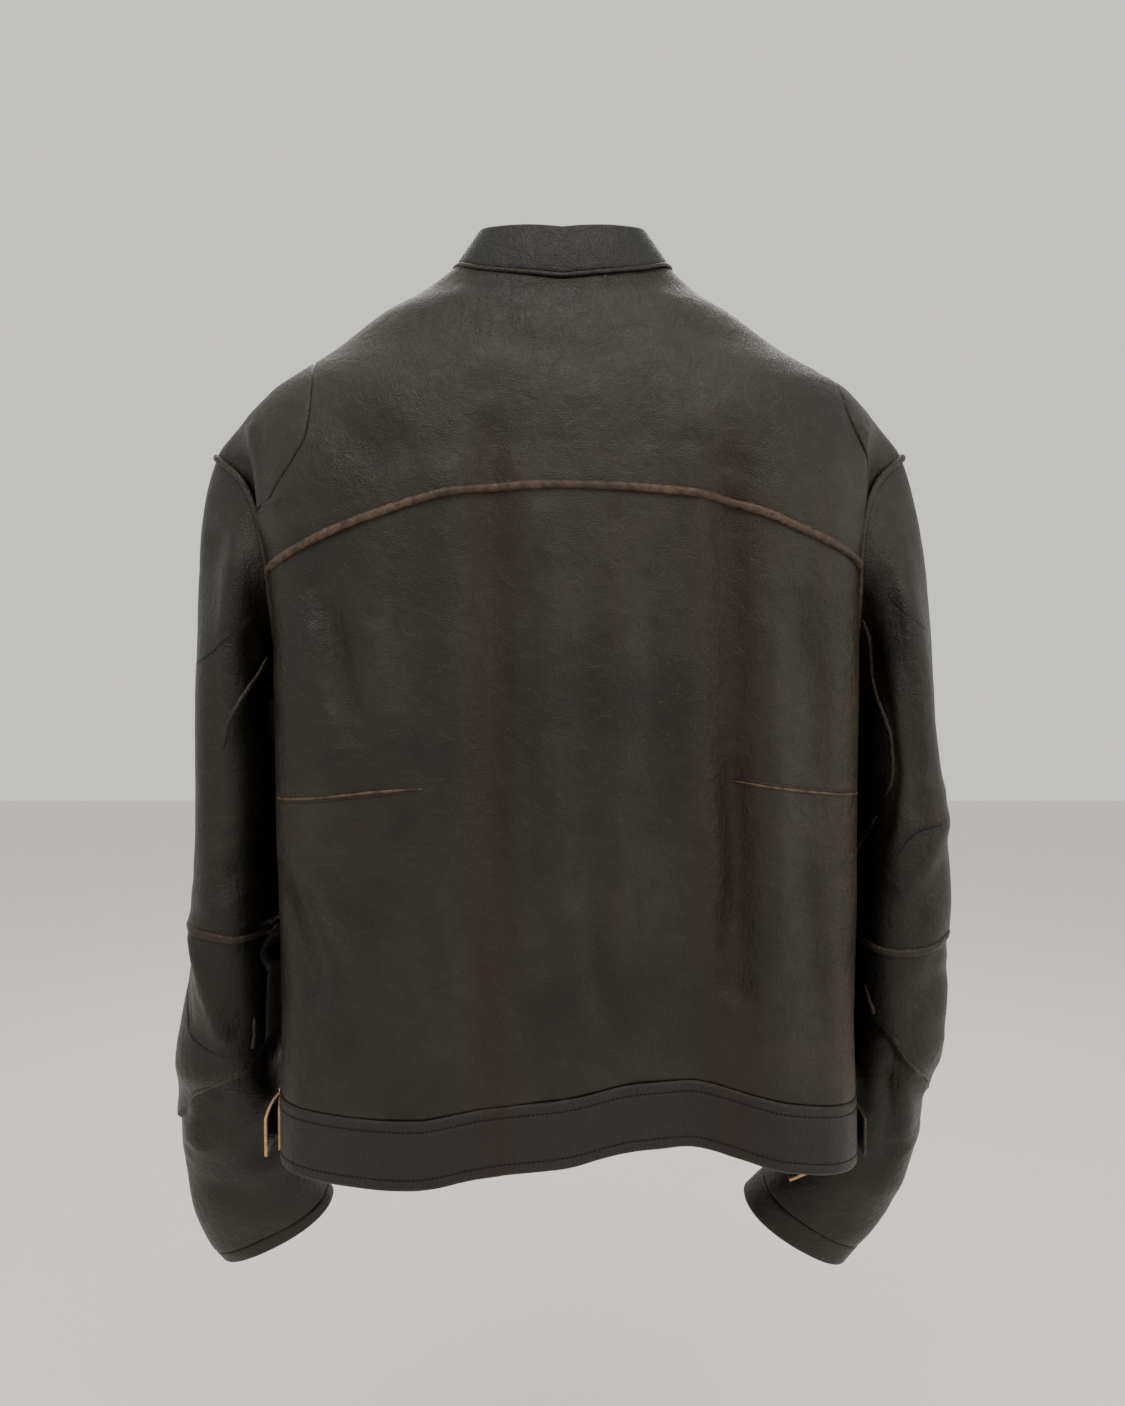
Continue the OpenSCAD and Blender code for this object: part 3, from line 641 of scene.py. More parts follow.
def front_depth(z):
    return np.interp(z, [HEM, NECK_FRONT, -5, NECK_SIDE], [100, 78, 50, 20])


def bare_body(theta, z):
    """Points of the body's outer face at polar angles and heights, without wrinkles."""
    theta, z = np.broadcast_arrays(np.radians(theta), np.asarray(z, float))
    c, s = np.cos(theta), np.sin(theta)
    back = s > 0
    half = np.where(c >= 0, edge_x["left"](z), edge_x["right"](z))
    deep = np.where(back, back_depth(z), front_depth(z))
    power = np.where(back, square_back(z), square_front(z))
    r = ((np.abs(c) / half) ** power + (np.abs(s) / deep) ** power) ** (-1 / power)
    x, dy = r * c, r * s
    side = np.sign(c) * np.exp(-((dy / CAP_HALF) ** 2))
    x = x + side * cap_reach(z)
    # The waist straps pull the waistband's sides to one place
    pull = smoothstep(-560, -615, z) * np.exp(-((dy / 45) ** 4))
    x = x + np.sign(c) * pull * (226.5 - half)
    return np.stack([x, MID_Y + dy, z], -1)


def body(theta, z, off=0.0):
    """Points of the body's outer face with the soft folds of the back, moved out by off."""
    p = bare_body(theta, z)
    x, dy = p[..., 0], p[..., 1] - MID_Y
    back = smoothstep(30, 85, dy)
    strength = fold_by_height(p[..., 2])
    lift = back * fold_across(x) * strength
    for line, width, height in BACK_FOLDS:
        lift = lift + back * stroke(x, p[..., 2], line, width, height)
    p[..., 1] += lift
    p[..., 2] += back * hem_shift(x) * smoothstep(-380, -623, p[..., 2])
    if np.any(off):
        a = body_normal(theta, z)
        p = p + a * np.reshape(off, np.shape(off) + (1,) * (p.ndim - np.ndim(off)))
    return p


def body_normal(theta, z):
    step = 0.25
    du = body(np.asarray(theta) + step, z) - body(np.asarray(theta) - step, z)
    dv = body(theta, np.asarray(z) + 1.0) - body(theta, np.asarray(z) - 1.0)
    return unit(np.cross(du, dv))


def turn(alpha, side, face):
    """Polar angle of the place alpha degrees from a side's middle plane, behind (face 1) or in front (-1)."""
    if side == "left":
        return face * alpha
    return 180 - alpha if face > 0 else alpha - 180


def alpha_at_depth(depth, z, side, face):
    """Degrees from the side's middle plane where the face is so far from that plane."""
    z = np.asarray(z, float)
    deep, power = (back_depth(z), square_back(z)) if face > 0 else (front_depth(z), square_front(z))
    x = edge_x[side](z) * (1 - np.minimum(depth / deep, 0.999) ** power) ** (1 / power)
    return np.degrees(np.arctan2(depth, x))


def alpha_at_x(x, z, side, face):
    """Degrees from the side's middle plane where the face is x from the middle."""
    z = np.asarray(z, float)
    deep, power = (back_depth(z), square_back(z)) if face > 0 else (front_depth(z), square_front(z))
    ratio = np.minimum(np.abs(x) / edge_x[side](z), 0.9995)
    return np.degrees(np.arctan2(deep * (1 - ratio ** power) ** (1 / power), np.abs(x)))


# ---------------------------------------------------------------- seams

SIDE_SEAM = 46.0       # side seams, this far from the middle plane
RING_BLUNT = 1.1       # shape of the armhole
ZIP_EDGE = 7.2         # front panels' edges, this far from the middle

shoulder_seam = {
    "left": curve((-172, 227), (-160, 220), (-151, 214), (-133, 201), (-115, 192), (-94, 189.5), (-67, 191),
                  (-40, 195.5)),
    "right": curve((-172, 229), (-160, 230.5), (-136, 231.5), (-124, 229), (-111, 225), (-90, 217),
                   (-70, 212.5),
                   (-49, 208.5), (-40, 198)),
}
yoke_line = curve((-232, -214), (-213, -203), (-170, -184), (-140, -172), (-100, -162), (-50, -157),
                  (0, -155.5),
                  (50, -157), (75, -160), (100, -165), (145, -179), (190, -197), (232, -219))


def ring_point(phi):
    """Height and distance from the middle plane of the armhole's edge. phi 0 is at the top, 90 behind."""
    z = mix(PIT, RING_TOP, (1 + np.cos(np.radians(phi))) / 2)
    s = np.sin(np.radians(phi))
    return z, RING_HALF * np.sign(s) * np.abs(s) ** RING_BLUNT


def ring_half(z):
    c = np.clip((np.asarray(z, float) - PIT) / (RING_TOP - PIT) * 2 - 1, -1, 1)
    return RING_HALF * np.maximum(1 - c * c, 1e-6) ** (RING_BLUNT / 2)


def side_edge(z, side, face):
    """Degrees from the side plane of a panel's side edge: side seam, armhole, shoulder seam, then ridge."""
    z = np.asarray(z, float)
    hole = np.where(z < (PIT + RING_TOP) / 2, np.maximum(ring_half(z), SIDE_SEAM), ring_half(z))
    low = alpha_at_depth(hole, z, side, face)
    high = alpha_at_x(shoulder_seam[side](z), z, side, face)
    alpha = mix(low, high, smoothstep(SHOULDER_LOW - 2, SHOULDER_LOW + 9, z))
    return alpha * (1 - smoothstep(-52, SHOULDER_HIGH, z))


neck_t = np.linspace(0, 90, 46)
neck_tables = {}
for face, heights in ((1, curve((0, 28), (30, 24), (60, 14), (90, 6))),
                      (-1, curve((0, 28), (30, 20), (64, -5), (80, -35), (90, -50)))):
    level = heights(neck_t)
    neck_power = 2 / (square_back(level) if face > 0 else square_front(level))
    neck_deep = back_depth(level) if face > 0 else front_depth(level)
    neck_x = edge_x["left"](level) * np.cos(np.radians(neck_t)) ** neck_power
    neck_dy = neck_deep * np.sin(np.radians(neck_t)) ** neck_power
    neck_tables[face] = np.degrees(np.arctan2(neck_dy, neck_x)), level


def neck_height(theta):
    """Height of the neckline at a polar angle."""
    theta = (np.asarray(theta, float) + 180) % 360 - 180
    alpha = 90 - np.abs(90 - np.abs(theta))
    return np.where(theta > 0, np.interp(alpha, *neck_tables[1]), np.interp(alpha, *neck_tables[-1]))


class Band:
    """The body's face between two edges, with even steps across at every height."""

    def __init__(self, start, end, low, high):
        self.levels = np.linspace(low, high, max(4, int((high - low) / 3)))
        u = np.linspace(0, 1, 241)
        a, b = start(self.levels)[:, None], end(self.levels)[:, None]
        theta = mix(a, b, u[None])
        p = bare_body(theta, self.levels[:, None])
        legs = np.linalg.norm(np.diff(p, axis=1), axis=-1)
        run = np.concatenate([np.zeros((len(legs), 1)), np.cumsum(legs, axis=1)], axis=1)
        self.width = run[:, -1]
        self.table = np.stack([np.interp(u, r / r[-1], t) for r, t in zip(run, theta)])

    def angle(self, u, z):
        u, z = np.broadcast_arrays(u, np.asarray(z, float))
        fi = np.clip((z - self.levels[0]) / (self.levels[-1] - self.levels[0]), 0, 1) * (len(self.levels) - 1)
        fj = np.clip(u, 0, 1) * (self.table.shape[1] - 1)
        i = np.minimum(fi.astype(int), len(self.levels) - 2)
        j = np.minimum(fj.astype(int), self.table.shape[1] - 2)
        fi, fj = fi - i, fj - j
        t = self.table
        return mix(mix(t[i, j], t[i, j + 1], fj), mix(t[i + 1, j], t[i + 1, j + 1], fj), fi)

    def height_on(self, u, line, start):
        """Heights where the columns u meet a line, given as a function of polar angle and height."""
        z = np.full(np.shape(u), float(start))
        for _ in range(12):
            z = mix(z, line(self.angle(u, z), z), 0.7)
        return z

    def grid(self, u, v, low, high):
        z = mix(low[None, :], high[None, :], v[:, None])
        return self.angle(np.broadcast_to(u[None, :], z.shape), z), z


def on_yoke_seam(theta, z):
    return yoke_line(bare_body(theta, z)[..., 0])


def on_neckline(theta, z):
    return neck_height(theta)


# ---------------------------------------------------------------- wrinkles, wear and tone

# The back's outer fold above the yoke seam, and the hollow between it and the armhole: lines of (|x|, z)
OUTER_FOLD = {"left": ((243, -96), (239, -117), (235, -136), (232, -160), (230, -190)),
              "right": ((236, -100), (233, -114), (231, -136), (230, -173), (229, -200))}
OUTER_HOLLOW = {"left": ((258, -118), (252, -132), (247, -150), (243, -170)),
                "right": ((252, -120), (248, -138), (244, -160), (240, -180))}

# Broad dark reddish bands of the back: centre x, half width and strength
TONE_BANDS = ((50, 20, 0.9), (-127, 24, 1.0), (-40, 12, 0.25), (150, 12, 0.3), (205, 10, 0.4),
              (-200, 12, 0.35))


def crumple(p, amount=1.0, seed=0):
    """Height of the irregular wrinkles at the points p."""
    soft = noise(p, (55, 55, 95), seed) * 0.9
    small = noise(p, (20, 20, 30), seed + 1) * 0.35 + noise(p, (9, 9, 11), seed + 2) * 0.14
    return amount * (soft + small)


def pucker(distance, run, amount=0.5, reach=11.0, pitch=13.0, seed=4):
    """Small gathers beside a seam: run is any point grid, distance its distance from the seam."""
    wave = noise(run, (pitch, pitch, pitch), seed)
    return amount * np.clip(1 - distance / reach, 0, 1) * wave


def outer_fold(p):
    x, dy, z = p[..., 0], p[..., 1] - MID_Y, p[..., 2]
    total = np.zeros(x.shape)
    for side in SIDES:
        here = (x * SIGN[side] > 0) * smoothstep(8, 26, dy)
        total += here * stroke(np.abs(x), z, OUTER_FOLD[side], 6, 3.2)
        total += here * stroke(np.abs(x), z, OUTER_HOLLOW[side], 9, -3.0)
    return total


def body_tone(p):
    x, z = p[..., 0], p[..., 2]
    sway = 9 * noise(p, (200, 200, 150), 21)
    total = np.zeros(x.shape)
    for centre, width, strength in TONE_BANDS:
        total += strength * np.exp(-(((x - centre + sway) / width) ** 2))
    patch = 0.5 + 0.5 * noise(p, (70, 70, 130), 22)
    return np.clip(total * (0.6 + 0.8 * patch) * smoothstep(-60, -190, z), 0, 1)


def ridge_wear(p):
    """Brown rub-off along the shoulders and the folded edges of the back."""
    x, dy, z = p[..., 0], p[..., 1] - MID_Y, p[..., 2]
    away = np.where(dy > 0, np.maximum(dy - 8, 0) / 24, dy / 22)
    on_ridge = np.exp(-(away ** 2)) * smoothstep(-130, -50, z)
    strength = np.where(x < 0, 0.7, 0.3)
    folded = np.exp(-(((np.abs(x) - 222) / 9) ** 2)) * smoothstep(30, 52, dy) * smoothstep(-160, -260, z)
    patchy = 0.6 + 0.4 * noise(p, (50, 50, 60), 23)
    return np.clip((on_ridge * strength + np.where(x < 0, 0.4, 0.2) * folded) * patchy, 0, 1)


def seam_wear(p, reach=4.0):
    edges = np.min(edge_distance(p), axis=0)
    return 0.05 * np.clip(1 - edges / reach, 0, 1)


def body_panel(name, theta, z, material, nodes, amount=1.0, seed=0, smooth_near_x=None, off=0.0, **options):
    """A body panel on polar angles and heights, wrinkled, for the CAD nodes it stands for."""
    p = body(theta, z)
    normal = grid_normals(p)
    edges = np.min(edge_distance(p), axis=0)
    lift = crumple(p, amount, seed) + pucker(edges, p, 0.45) + outer_fold(p) + off
    if smooth_near_x is not None:
        lift = (lift - off) * smooth_near_x(p) + off
    p = p + normal * lift[..., None]
    facts = {"wear": ridge_wear(p) + seam_wear(p), "tone": body_tone(p)}
    dressed(panel(name, p, material, facts=facts, **options), "jacket", *nodes)
    return p


def dressed(obj, body_name, *nodes):
    """The piece, riding on a body and standing for CAD nodes."""
    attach(obj, body_name)
    if nodes:
        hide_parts(*nodes)
    return obj


STEP = 3.6

# ---------------------------------------------------------------- back

back_band = Band(lambda z: turn(side_edge(z, "left", 1), "left", 1),
                 lambda z: turn(side_edge(z, "right", 1), "right", 1),
                 HEM, NECK_SIDE)
u_back = spread(540, STEP)
yoke_z = back_band.height_on(u_back, on_yoke_seam, -170)
neck_z = back_band.height_on(u_back, on_neckline, 10)

theta, z = back_band.grid(u_back, spread(450, STEP), np.full(u_back.shape, BAND_TOP), yoke_z)
back_grid = body_panel("back_panel_leather", theta, z, leather, ["back_panel"], seed=1)
theta, z = back_band.grid(u_back, spread(190, STEP), yoke_z, neck_z)
yoke_grid = body_panel("back_yoke_leather", theta, z, leather, ["back_yoke"], amount=0.7, seed=5)

seam_theta = back_band.angle(u_back, yoke_z)
yoke_path = body(seam_theta, yoke_z, 0.6)
yoke_up = body_normal(seam_theta, yoke_z)


def crest_wear(low, high, seed):
    return lambda line: np.clip(mix(low, high, 0.5 + 0.5 * noise(line, 26.0, seed)), 0, 1)


dressed(welt("yoke_piping_cord", yoke_path, yoke_up, 3.3, piping_leather, 3.0, pucker=0.05,
             facts={"wear": crest_wear(0.25, 0.85, 31), "tone": crest_wear(0, 0.3, 32)}), "jacket",
             "yoke_piping")

# ---------------------------------------------------------------- sides, shoulders, fronts

BAND_HEIGHT, BAND_STITCH = 53.0, 8.5
BAND_GROOVES = (("h", BAND_STITCH), ("l", BAND_STITCH))
BAND_ROWS = spread(BAND_HEIGHT, 2.6, (BAND_STITCH, BAND_HEIGHT - BAND_STITCH))
# A thin stay under each shoulder closes the place where the shoulder seam crosses the ridge
STAY_REACH, STAY_LOW, STAY_HIGH = 36.0, -68.0, -26.0
STAY_DEPTH, STAY_THICK = 1.9, 1.0
shoulder_grid, front_grid, band_grid = {}, {}, {}
for side in SIDES:
    sign = SIGN[side]
    start, end = (-1, 1) if side == "left" else (1, -1)

    def seam_angle(face):
        def angle(z):
            found = turn(alpha_at_depth(np.full(np.shape(z), SIDE_SEAM), z, side, face), side, face)
            return found % 360 if side == "right" else found

        return angle

    side_band = Band(seam_angle(start), seam_angle(end), BAND_TOP, RING_TOP)
    u = spread(96, STEP)
    share = np.clip(np.abs(2 * u - 1) * SIDE_SEAM / RING_HALF, 0, 1) ** (2 / RING_BLUNT)
    top = mix(PIT, RING_TOP, (1 - np.sqrt(1 - share)) / 2)
    theta, z = side_band.grid(u, spread(320, STEP), np.full(u.shape, BAND_TOP), top)
    body_panel("side_panel_" + side + "_leather", theta, z, leather, ["side_panel_" + side], seed=9)

    # Shoulder panel, round the top of the armhole from the front seam to the back seam
    last_phi = math.degrees(math.acos(2 * (SHOULDER_LOW - PIT) / (RING_TOP - PIT) - 1))
    s = mix(-0.985, 0.985, spread(300, STEP)) * sign
    ring_z, ring_y = ring_point(np.abs(s) * last_phi)
    high_z = mix(SHOULDER_HIGH, SHOULDER_LOW, np.abs(s))
    outer = np.zeros(len(s))
    inner = np.zeros(len(s))
    for face in (1, -1):
        pick = (np.sign(s) == face) | (s == 0)
        outer[pick] = alpha_at_depth(np.abs(ring_y[pick]), ring_z[pick], side, face)
        inner[pick] = side_edge(high_z[pick], side, face)
    v = spread(95, STEP)[:, None]
    alpha = mix((np.sign(s) * outer)[None], (np.sign(s) * inner)[None], v)
    theta = alpha if side == "left" else 180 - alpha
    z = mix(ring_z[None], high_z[None], v)
    node = "shoulder_panel_" + side
    shoulder_grid[side] = body_panel(node + "_leather", theta, z, leather, [node], amount=0.6, seed=11)

    # Stay
    stay_theta = mix(turn(STAY_REACH, side, start), turn(STAY_REACH, side, end) % 360, spread(90, 4.0))
    stay_z = mix(STAY_LOW, STAY_HIGH, spread(44, 4.0))
    stay = body(*np.meshgrid(stay_theta, stay_z))
    stay = stay - grid_normals(stay) * STAY_DEPTH
    dressed(panel("shoulder_stay_" + side, stay, leather, STAY_THICK, seams=""), "jacket")

    # Front panel, from the zip to the side seam
    def zip_angle(z):
        return turn(alpha_at_x(np.full(np.shape(z), ZIP_EDGE), z, side, -1), side, -1)

    def edge_angle(z):
        return turn(side_edge(z, side, -1), side, -1)

    a, b = (zip_angle, edge_angle) if side == "left" else (edge_angle, zip_angle)
    front_band = Band(a, b, HEM, NECK_SIDE)
    u = spread(270, STEP)
    top = front_band.height_on(u, on_neckline, -20)
    theta, z = front_band.grid(u, spread(620, STEP), np.full(u.shape, BAND_TOP), top)

    def clear_of_zips(p):
        x = np.abs(p[..., 0])
        height = p[..., 2]
        near_pocket = np.exp(-(((x - 118) / 20) ** 4))
        near_pocket = near_pocket * smoothstep(-600, -585, height) * smoothstep(-405, -420, height)
        return smoothstep(10, 36, x) * (1 - near_pocket)

    node = "front_panel_" + side
    front_grid[side] = body_panel(node + "_leather", theta, z, leather, [node], seed=13 + int(sign),
                                  smooth_near_x=clear_of_zips)

    # Front half of the waistband
    def band_end(z):
        alpha = alpha_at_depth(np.full(np.shape(z), SIDE_SEAM), z, side, 1)
        return turn(alpha, side, 1) if side == "left" else turn(alpha, side, 1) - 360

    a, b = (zip_angle, band_end) if side == "left" else (band_end, zip_angle)
    hem_band = Band(a, b, HEM, BAND_TOP)
    u = spread(330, STEP)
    theta, z = hem_band.grid(u, BAND_ROWS, np.full(u.shape, HEM), np.full(u.shape, BAND_TOP))
    node = "waistband_front_" + side
    band_grid[side] = body_panel(node + "_leather", theta, z, trim, [node], amount=0.5, seed=17, off=0.8,
                                 smooth_near_x=lambda p: smoothstep(10, 30, np.abs(p[..., 0])),
                                 grooves=BAND_GROOVES)

# ---------------------------------------------------------------- waistband behind

u = spread(500, STEP)
theta, z = back_band.grid(u, BAND_ROWS, np.full(u.shape, HEM), np.full(u.shape, BAND_TOP))
band_back_grid = body_panel("waistband_back_leather", theta, z, trim, ["waistband_back"], amount=0.7, seed=19,
                            off=1.2, grooves=BAND_GROOVES)

# ---------------------------------------------------------------- collar

COLLAR_LEAN_BACK, COLLAR_LEAN_SIDE = 5.6, 19.0
COLLAR_HEIGHT, COLLAR_SIDE_DROP = 39.5, 0.34


def signed_power(v, power):
    return np.sign(v) * np.abs(v) ** power


def collar_point(t, v, off=0.0):
    """Points of the collar: t as a section angle of the neckline, v from its seam to its top edge."""
    t, v = np.broadcast_arrays(np.asarray(t, float), np.asarray(v, float))
    wrapped = (t + 180) % 360 - 180
    alpha = 90 - np.abs(90 - np.abs(wrapped))
    c, s = np.cos(np.radians(t)), np.sin(np.radians(t))
    back = s > 0
    z = np.where(back, neck_level_back(alpha), neck_level_front(alpha))
    power = 2 / np.where(back, square_back(z), square_front(z))
    deep = np.where(back, back_depth(z), front_depth(z))
    x, dy = edge_x["left"](z) * signed_power(c, power), deep * signed_power(s, power)
    out = unit(np.stack([x, dy - 5, np.zeros(x.shape)], -1))
    lean = mix(COLLAR_LEAN_BACK, COLLAR_LEAN_SIDE, np.abs(c) ** 1.5)
    lift = COLLAR_HEIGHT * (1 - COLLAR_SIDE_DROP * np.abs(c) ** 2)
    rise = v - 0.06 * np.sin(np.pi * v)
    inward = lean * v ** 1.15 - 1.4 * np.sin(np.pi * np.clip(v, 0, 1)) - off
    return np.stack([x, MID_Y + dy, z + lift * rise], -1) - out * inward[..., None]


neck_level_back = curve((0, 28), (30, 24), (60, 14), (90, 6))
neck_level_front = curve((0, 28), (30, 20), (64, -5), (80, -35), (90, -50))
collar_t = mix(-89.0, 269.0, spread(560, STEP))


def collar_piece(name, low, high, off, thick, material, node, seams, seed, amount=0.5):
    v = mix(low, high, spread(44, 2.2))
    p = collar_point(collar_t[None], v[:, None], off)
    calm = smoothstep(20, 45, np.abs(p[..., 0])) + (p[..., 1] > MID_Y)
    lift = amount * crumple(p, 1.0, seed) * np.clip(calm, 0, 1)
    p = p + grid_normals(p) * lift[..., None]
    edge = np.clip(1 - edge_distance(p)[1] / 5, 0, 1)
    facts = {"wear": edge * 0.3 * (0.5 + 0.5 * noise(p, 14, 41)), "tone": 0 * edge}
    dressed(panel(name, p, material, thick, seams=seams, facts=facts, depth=1.7), "jacket", node)
    return p


collar_grid = collar_piece("collar_shell_leather", 0.03, 1.0, 0, 2.6, trim, "collar_shell", "lhse", 43)
collar_piece("collar_facing_leather", 0.0, 0.945, -2.9, 1.4, trim, "collar_facing", "h", 44, 0.3)
collar_seam_t = mix(-87.0, 267.0, np.linspace(0, 1, 160))
seam_path = collar_point(collar_seam_t, 0.0, 0.7)
seam_up = collar_point(collar_seam_t, 0.0, 4.0) - collar_point(collar_seam_t, 0.0, 0.0)
seam_up = unit(seam_up + np.array([0, 0, 1.5]))
dressed(welt("collar_seam_cord", seam_path, seam_up, 1.8, leather, 1.5, pucker=0.05,
             facts={"wear": crest_wear(0.0, 0.16, 45), "tone": crest_wear(0, 0.1, 46)}), "jacket",
             "collar_seam_piping")

# ---------------------------------------------------------------- lining

LINING_GAP = 4.6


def lining_piece(name, theta, z, nodes):
    p = body(theta, z)
    normal = grid_normals(p)
    soft = 0.9 * noise(p, (38, 38, 130), 51) + 0.5 * noise(p, (16, 16, 40), 52)
    p = p - normal * (LINING_GAP + 0.9 + soft)[..., None]
    dressed(panel(name, p, satin, 0.9, seams=""), "jacket", *nodes)


u = spread(540, STEP + 1)
neck_low = back_band.height_on(u, on_neckline, 10) - 3
theta, z = back_band.grid(u, spread(650, STEP + 1), np.full(u.shape, HEM + 12), neck_low)
lining_piece("lining_back_satin", theta, z, ["lining_back"])

for side in SIDES:
    def facing_angle(z):
        return turn(alpha_at_x(np.full(np.shape(z), ZIP_EDGE + 6), z, side, -1), side, -1)

    def lining_edge(z):
        return turn(side_edge(z, side, -1), side, -1)

    a, b = (facing_angle, lining_edge) if side == "left" else (lining_edge, facing_angle)
    lining_band = Band(a, b, HEM, NECK_SIDE)
    u = spread(265, STEP + 1)
    neck_low = lining_band.height_on(u, on_neckline, -20) - 3
    theta, z = lining_band.grid(u, spread(620, STEP + 1), np.full(u.shape, HEM + 12), neck_low)
    lining_piece("lining_front_" + side + "_satin", theta, z, ["lining_front_" + side])

# ---------------------------------------------------------------- sleeves

# Rows: position, centre x, y, z, half width, half depth, tilt down outwards, tilt down backwards
SLEEVE_ROWS = {
    "left": ((0, 262, -50, -330, 30.5, 74, 0, 0), (1, 263.25, -48, -420, 31.25, 72, 0, 0),
             (2, 265.75, -48, -476, 32.75, 69, 0, 0), (3, 270, -50, -524, 35, 64, 0, 4),
             (4, 278, -60, -590, 39, 56, 3, 8), (5, 282.5, -77, -662, 43.5, 47, 6, 12),
             (6, 274, -94, -732, 52, 40, 17, 12), (7, 260, -101, -772, 54, 36, 24, 12),
             (8, 252, -104, -786, 54, 35, 26, 12)),
    "right": ((0, 266, -50, -330, 30, 74, 0, 0), (1, 273.25, -48, -420, 36.75, 72, 0, 0),
              (2, 275, -48, -476, 38, 69, 0, 0), (3, 274.75, -50, -524, 37.75, 64, 0, 4),
              (4, 273.25, -60, -590, 34.75, 56, 3, 8), (5, 274, -77, -652, 33, 48, 7, 12),
              (6, 264.5, -92, -714, 36.5, 43, 17, 12), (7, 226, -103, -765, 48, 38, 30, 12),
              (8, 206, -108, -788, 51, 37, 30, 12)),
}
SLEEVE_SQUARE = 2.3
HEAD_TOP = -1.0        # position of the armhole seam, in rows
SPLIT = 0.78           # position where the upper and lower sleeve pieces meet
CUFF_TOP, CUFF_END = 7.2, 8.0
head_out = curve((0, 0.33), (60, 0.6), (90, 0.8), (180, 0.7))
sleeve_columns = {side: [curve(*[(row[0], row[k]) for row in SLEEVE_ROWS[side]]) for k in range(1, 8)]
                  for side in SIDES}


def station_point(side, phi, p):
    """Sleeve's outer face below the sleeve head, mirrored to the left side."""
    x, y, z, a, b, tilt, lean = (column(p) for column in sleeve_columns[side])
    c, s = np.cos(np.radians(phi)), np.sin(np.radians(phi))
    c, s = signed_power(c, 2 / SLEEVE_SQUARE), signed_power(s, 2 / SLEEVE_SQUARE)
    tilt, lean = np.radians(tilt), np.radians(lean)
    return np.stack([x + a * c * np.cos(tilt), y + b * s * np.cos(lean),
                     z - a * c * np.sin(tilt) - b * s * np.sin(lean)], -1)


def ring_place(side, phi):
    """Point of the armhole's edge on the body, mirrored to the left side."""
    phi = (np.asarray(phi, float) + 180) % 360 - 180
    z, dy = ring_point(phi)
    behind = turn(alpha_at_depth(np.abs(dy), z, side, 1), side, 1)
    ahead = turn(alpha_at_depth(np.abs(dy), z, side, -1), side, -1)
    p = bare_body(np.where(dy >= 0, behind, ahead), z)
    p[..., 0] *= SIGN[side]
    return p


def sleeve_point(side, phi, p):
    """Sleeve's outer face without wrinkles. p runs from the armhole, -1, to the end of the cuff, 8."""
    phi, p = np.broadcast_arrays(np.asarray(phi, float), np.asarray(p, float))
    low = station_point(side, phi, np.maximum(p, 0))
    ring, first = ring_place(side, phi), station_point(side, phi, np.zeros(p.shape))
    chord = np.linalg.norm(first - ring, axis=-1, keepdims=True)
    wrapped = np.abs((phi + 180) % 360 - 180)
    out, back = head_out(wrapped), 0.25 * np.sin(np.radians(phi))
    leave = np.stack([out, back, -np.sqrt(1 - out ** 2 - back ** 2)], -1) * chord
    arrive = np.array([0.03, 0.0, -1.0]) * chord
    v = np.clip(p + 1, 0, 1)[..., None]
    head = (ring * (1 + 2 * v) * (1 - v) ** 2 + leave * v * (1 - v) ** 2
            + first * v * v * (3 - 2 * v) + arrive * v * v * (v - 1))
    point = np.where(p[..., None] < 0, head, low)
    point[..., 0] *= SIGN[side]
    return point


# Folds seen from behind: line of (|x|, z), width, height
SLEEVE_FOLDS = {
    "left": (
        (((271, -173), (278, -211), (271, -261), (265, -312), (265, -363), (260, -414), (246, -465)),
         13, -6.0),
        (((250, -190), (248, -230), (243, -275)), 11, 3.0),
        (((288, -490), (281, -522), (274, -555), (268, -588)), 6.5, 5.0),
        (((298, -505), (300, -545), (296, -580)), 9, -3.5),
        (((260, -505), (258, -545), (256, -585)), 8, -3.0),
        (((232, -268), (239, -300), (253, -328), (258, -352)), 6, 3.0),
        (((269, -628), (281, -653), (294, -674), (301, -691)), 12, -4.5),
        (((292, -645), (304, -668), (312, -695)), 9, 3.5),
        (((262, -690), (250, -710), (232, -722)), 16, 4.0),
        (((285, -470), (262, -474), (240, -470)), 9, 2.5),
    ),
    "right": (
        (((262, -215), (268, -270), (274, -330), (279, -372)), 13, 3.5),
        (((250, -210), (255, -262), (262, -320), (268, -372), (268, -410)), 10, -4.0),
        (((300, -395), (276, -440), (252, -468)), 12, 4.5),
        (((296, -430), (285, -462), (262, -488)), 10, -3.0),
        (((300, -515), (285, -545), (262, -560)), 12, -4.0),
        (((306, -528), (300, -570), (296, -600)), 11, 3.5),
        (((271, -615), (281, -653), (285, -690)), 9, 4.0),
        (((258, -603), (266, -645), (272, -685)), 9, -5.0),
        (((286, -665), (268, -700), (240, -732)), 14, -3.5),
        (((236, -370), (236, -430), (232, -480)), 12, -6.0),
    ),
}
# Folds that hang over the leather below them: line of (|x|, z) with the swelling on its left, height, reach
HANGING_FOLDS = {
    "left": ((((238, -500), (245, -515), (242, -532), (245, -564), (247, -591), (260, -612), (279, -623),
               (294, -632),
               (306, -647)), 9.5, 32),),
    "right": ((((234, -505), (241, -522), (239, -540), (245, -559), (262, -582), (276, -603), (293, -619),
                (300, -634)),
               9.5, 32),
              (((238, -445), (250, -412), (254, -372), (247, -316), (241, -272), (234, -240)), -4.5, 15)),
}


LIES_AGAINST = {"left": 6.5, "right": 5.0}      # how far the sleeve's inner side bulges to the body


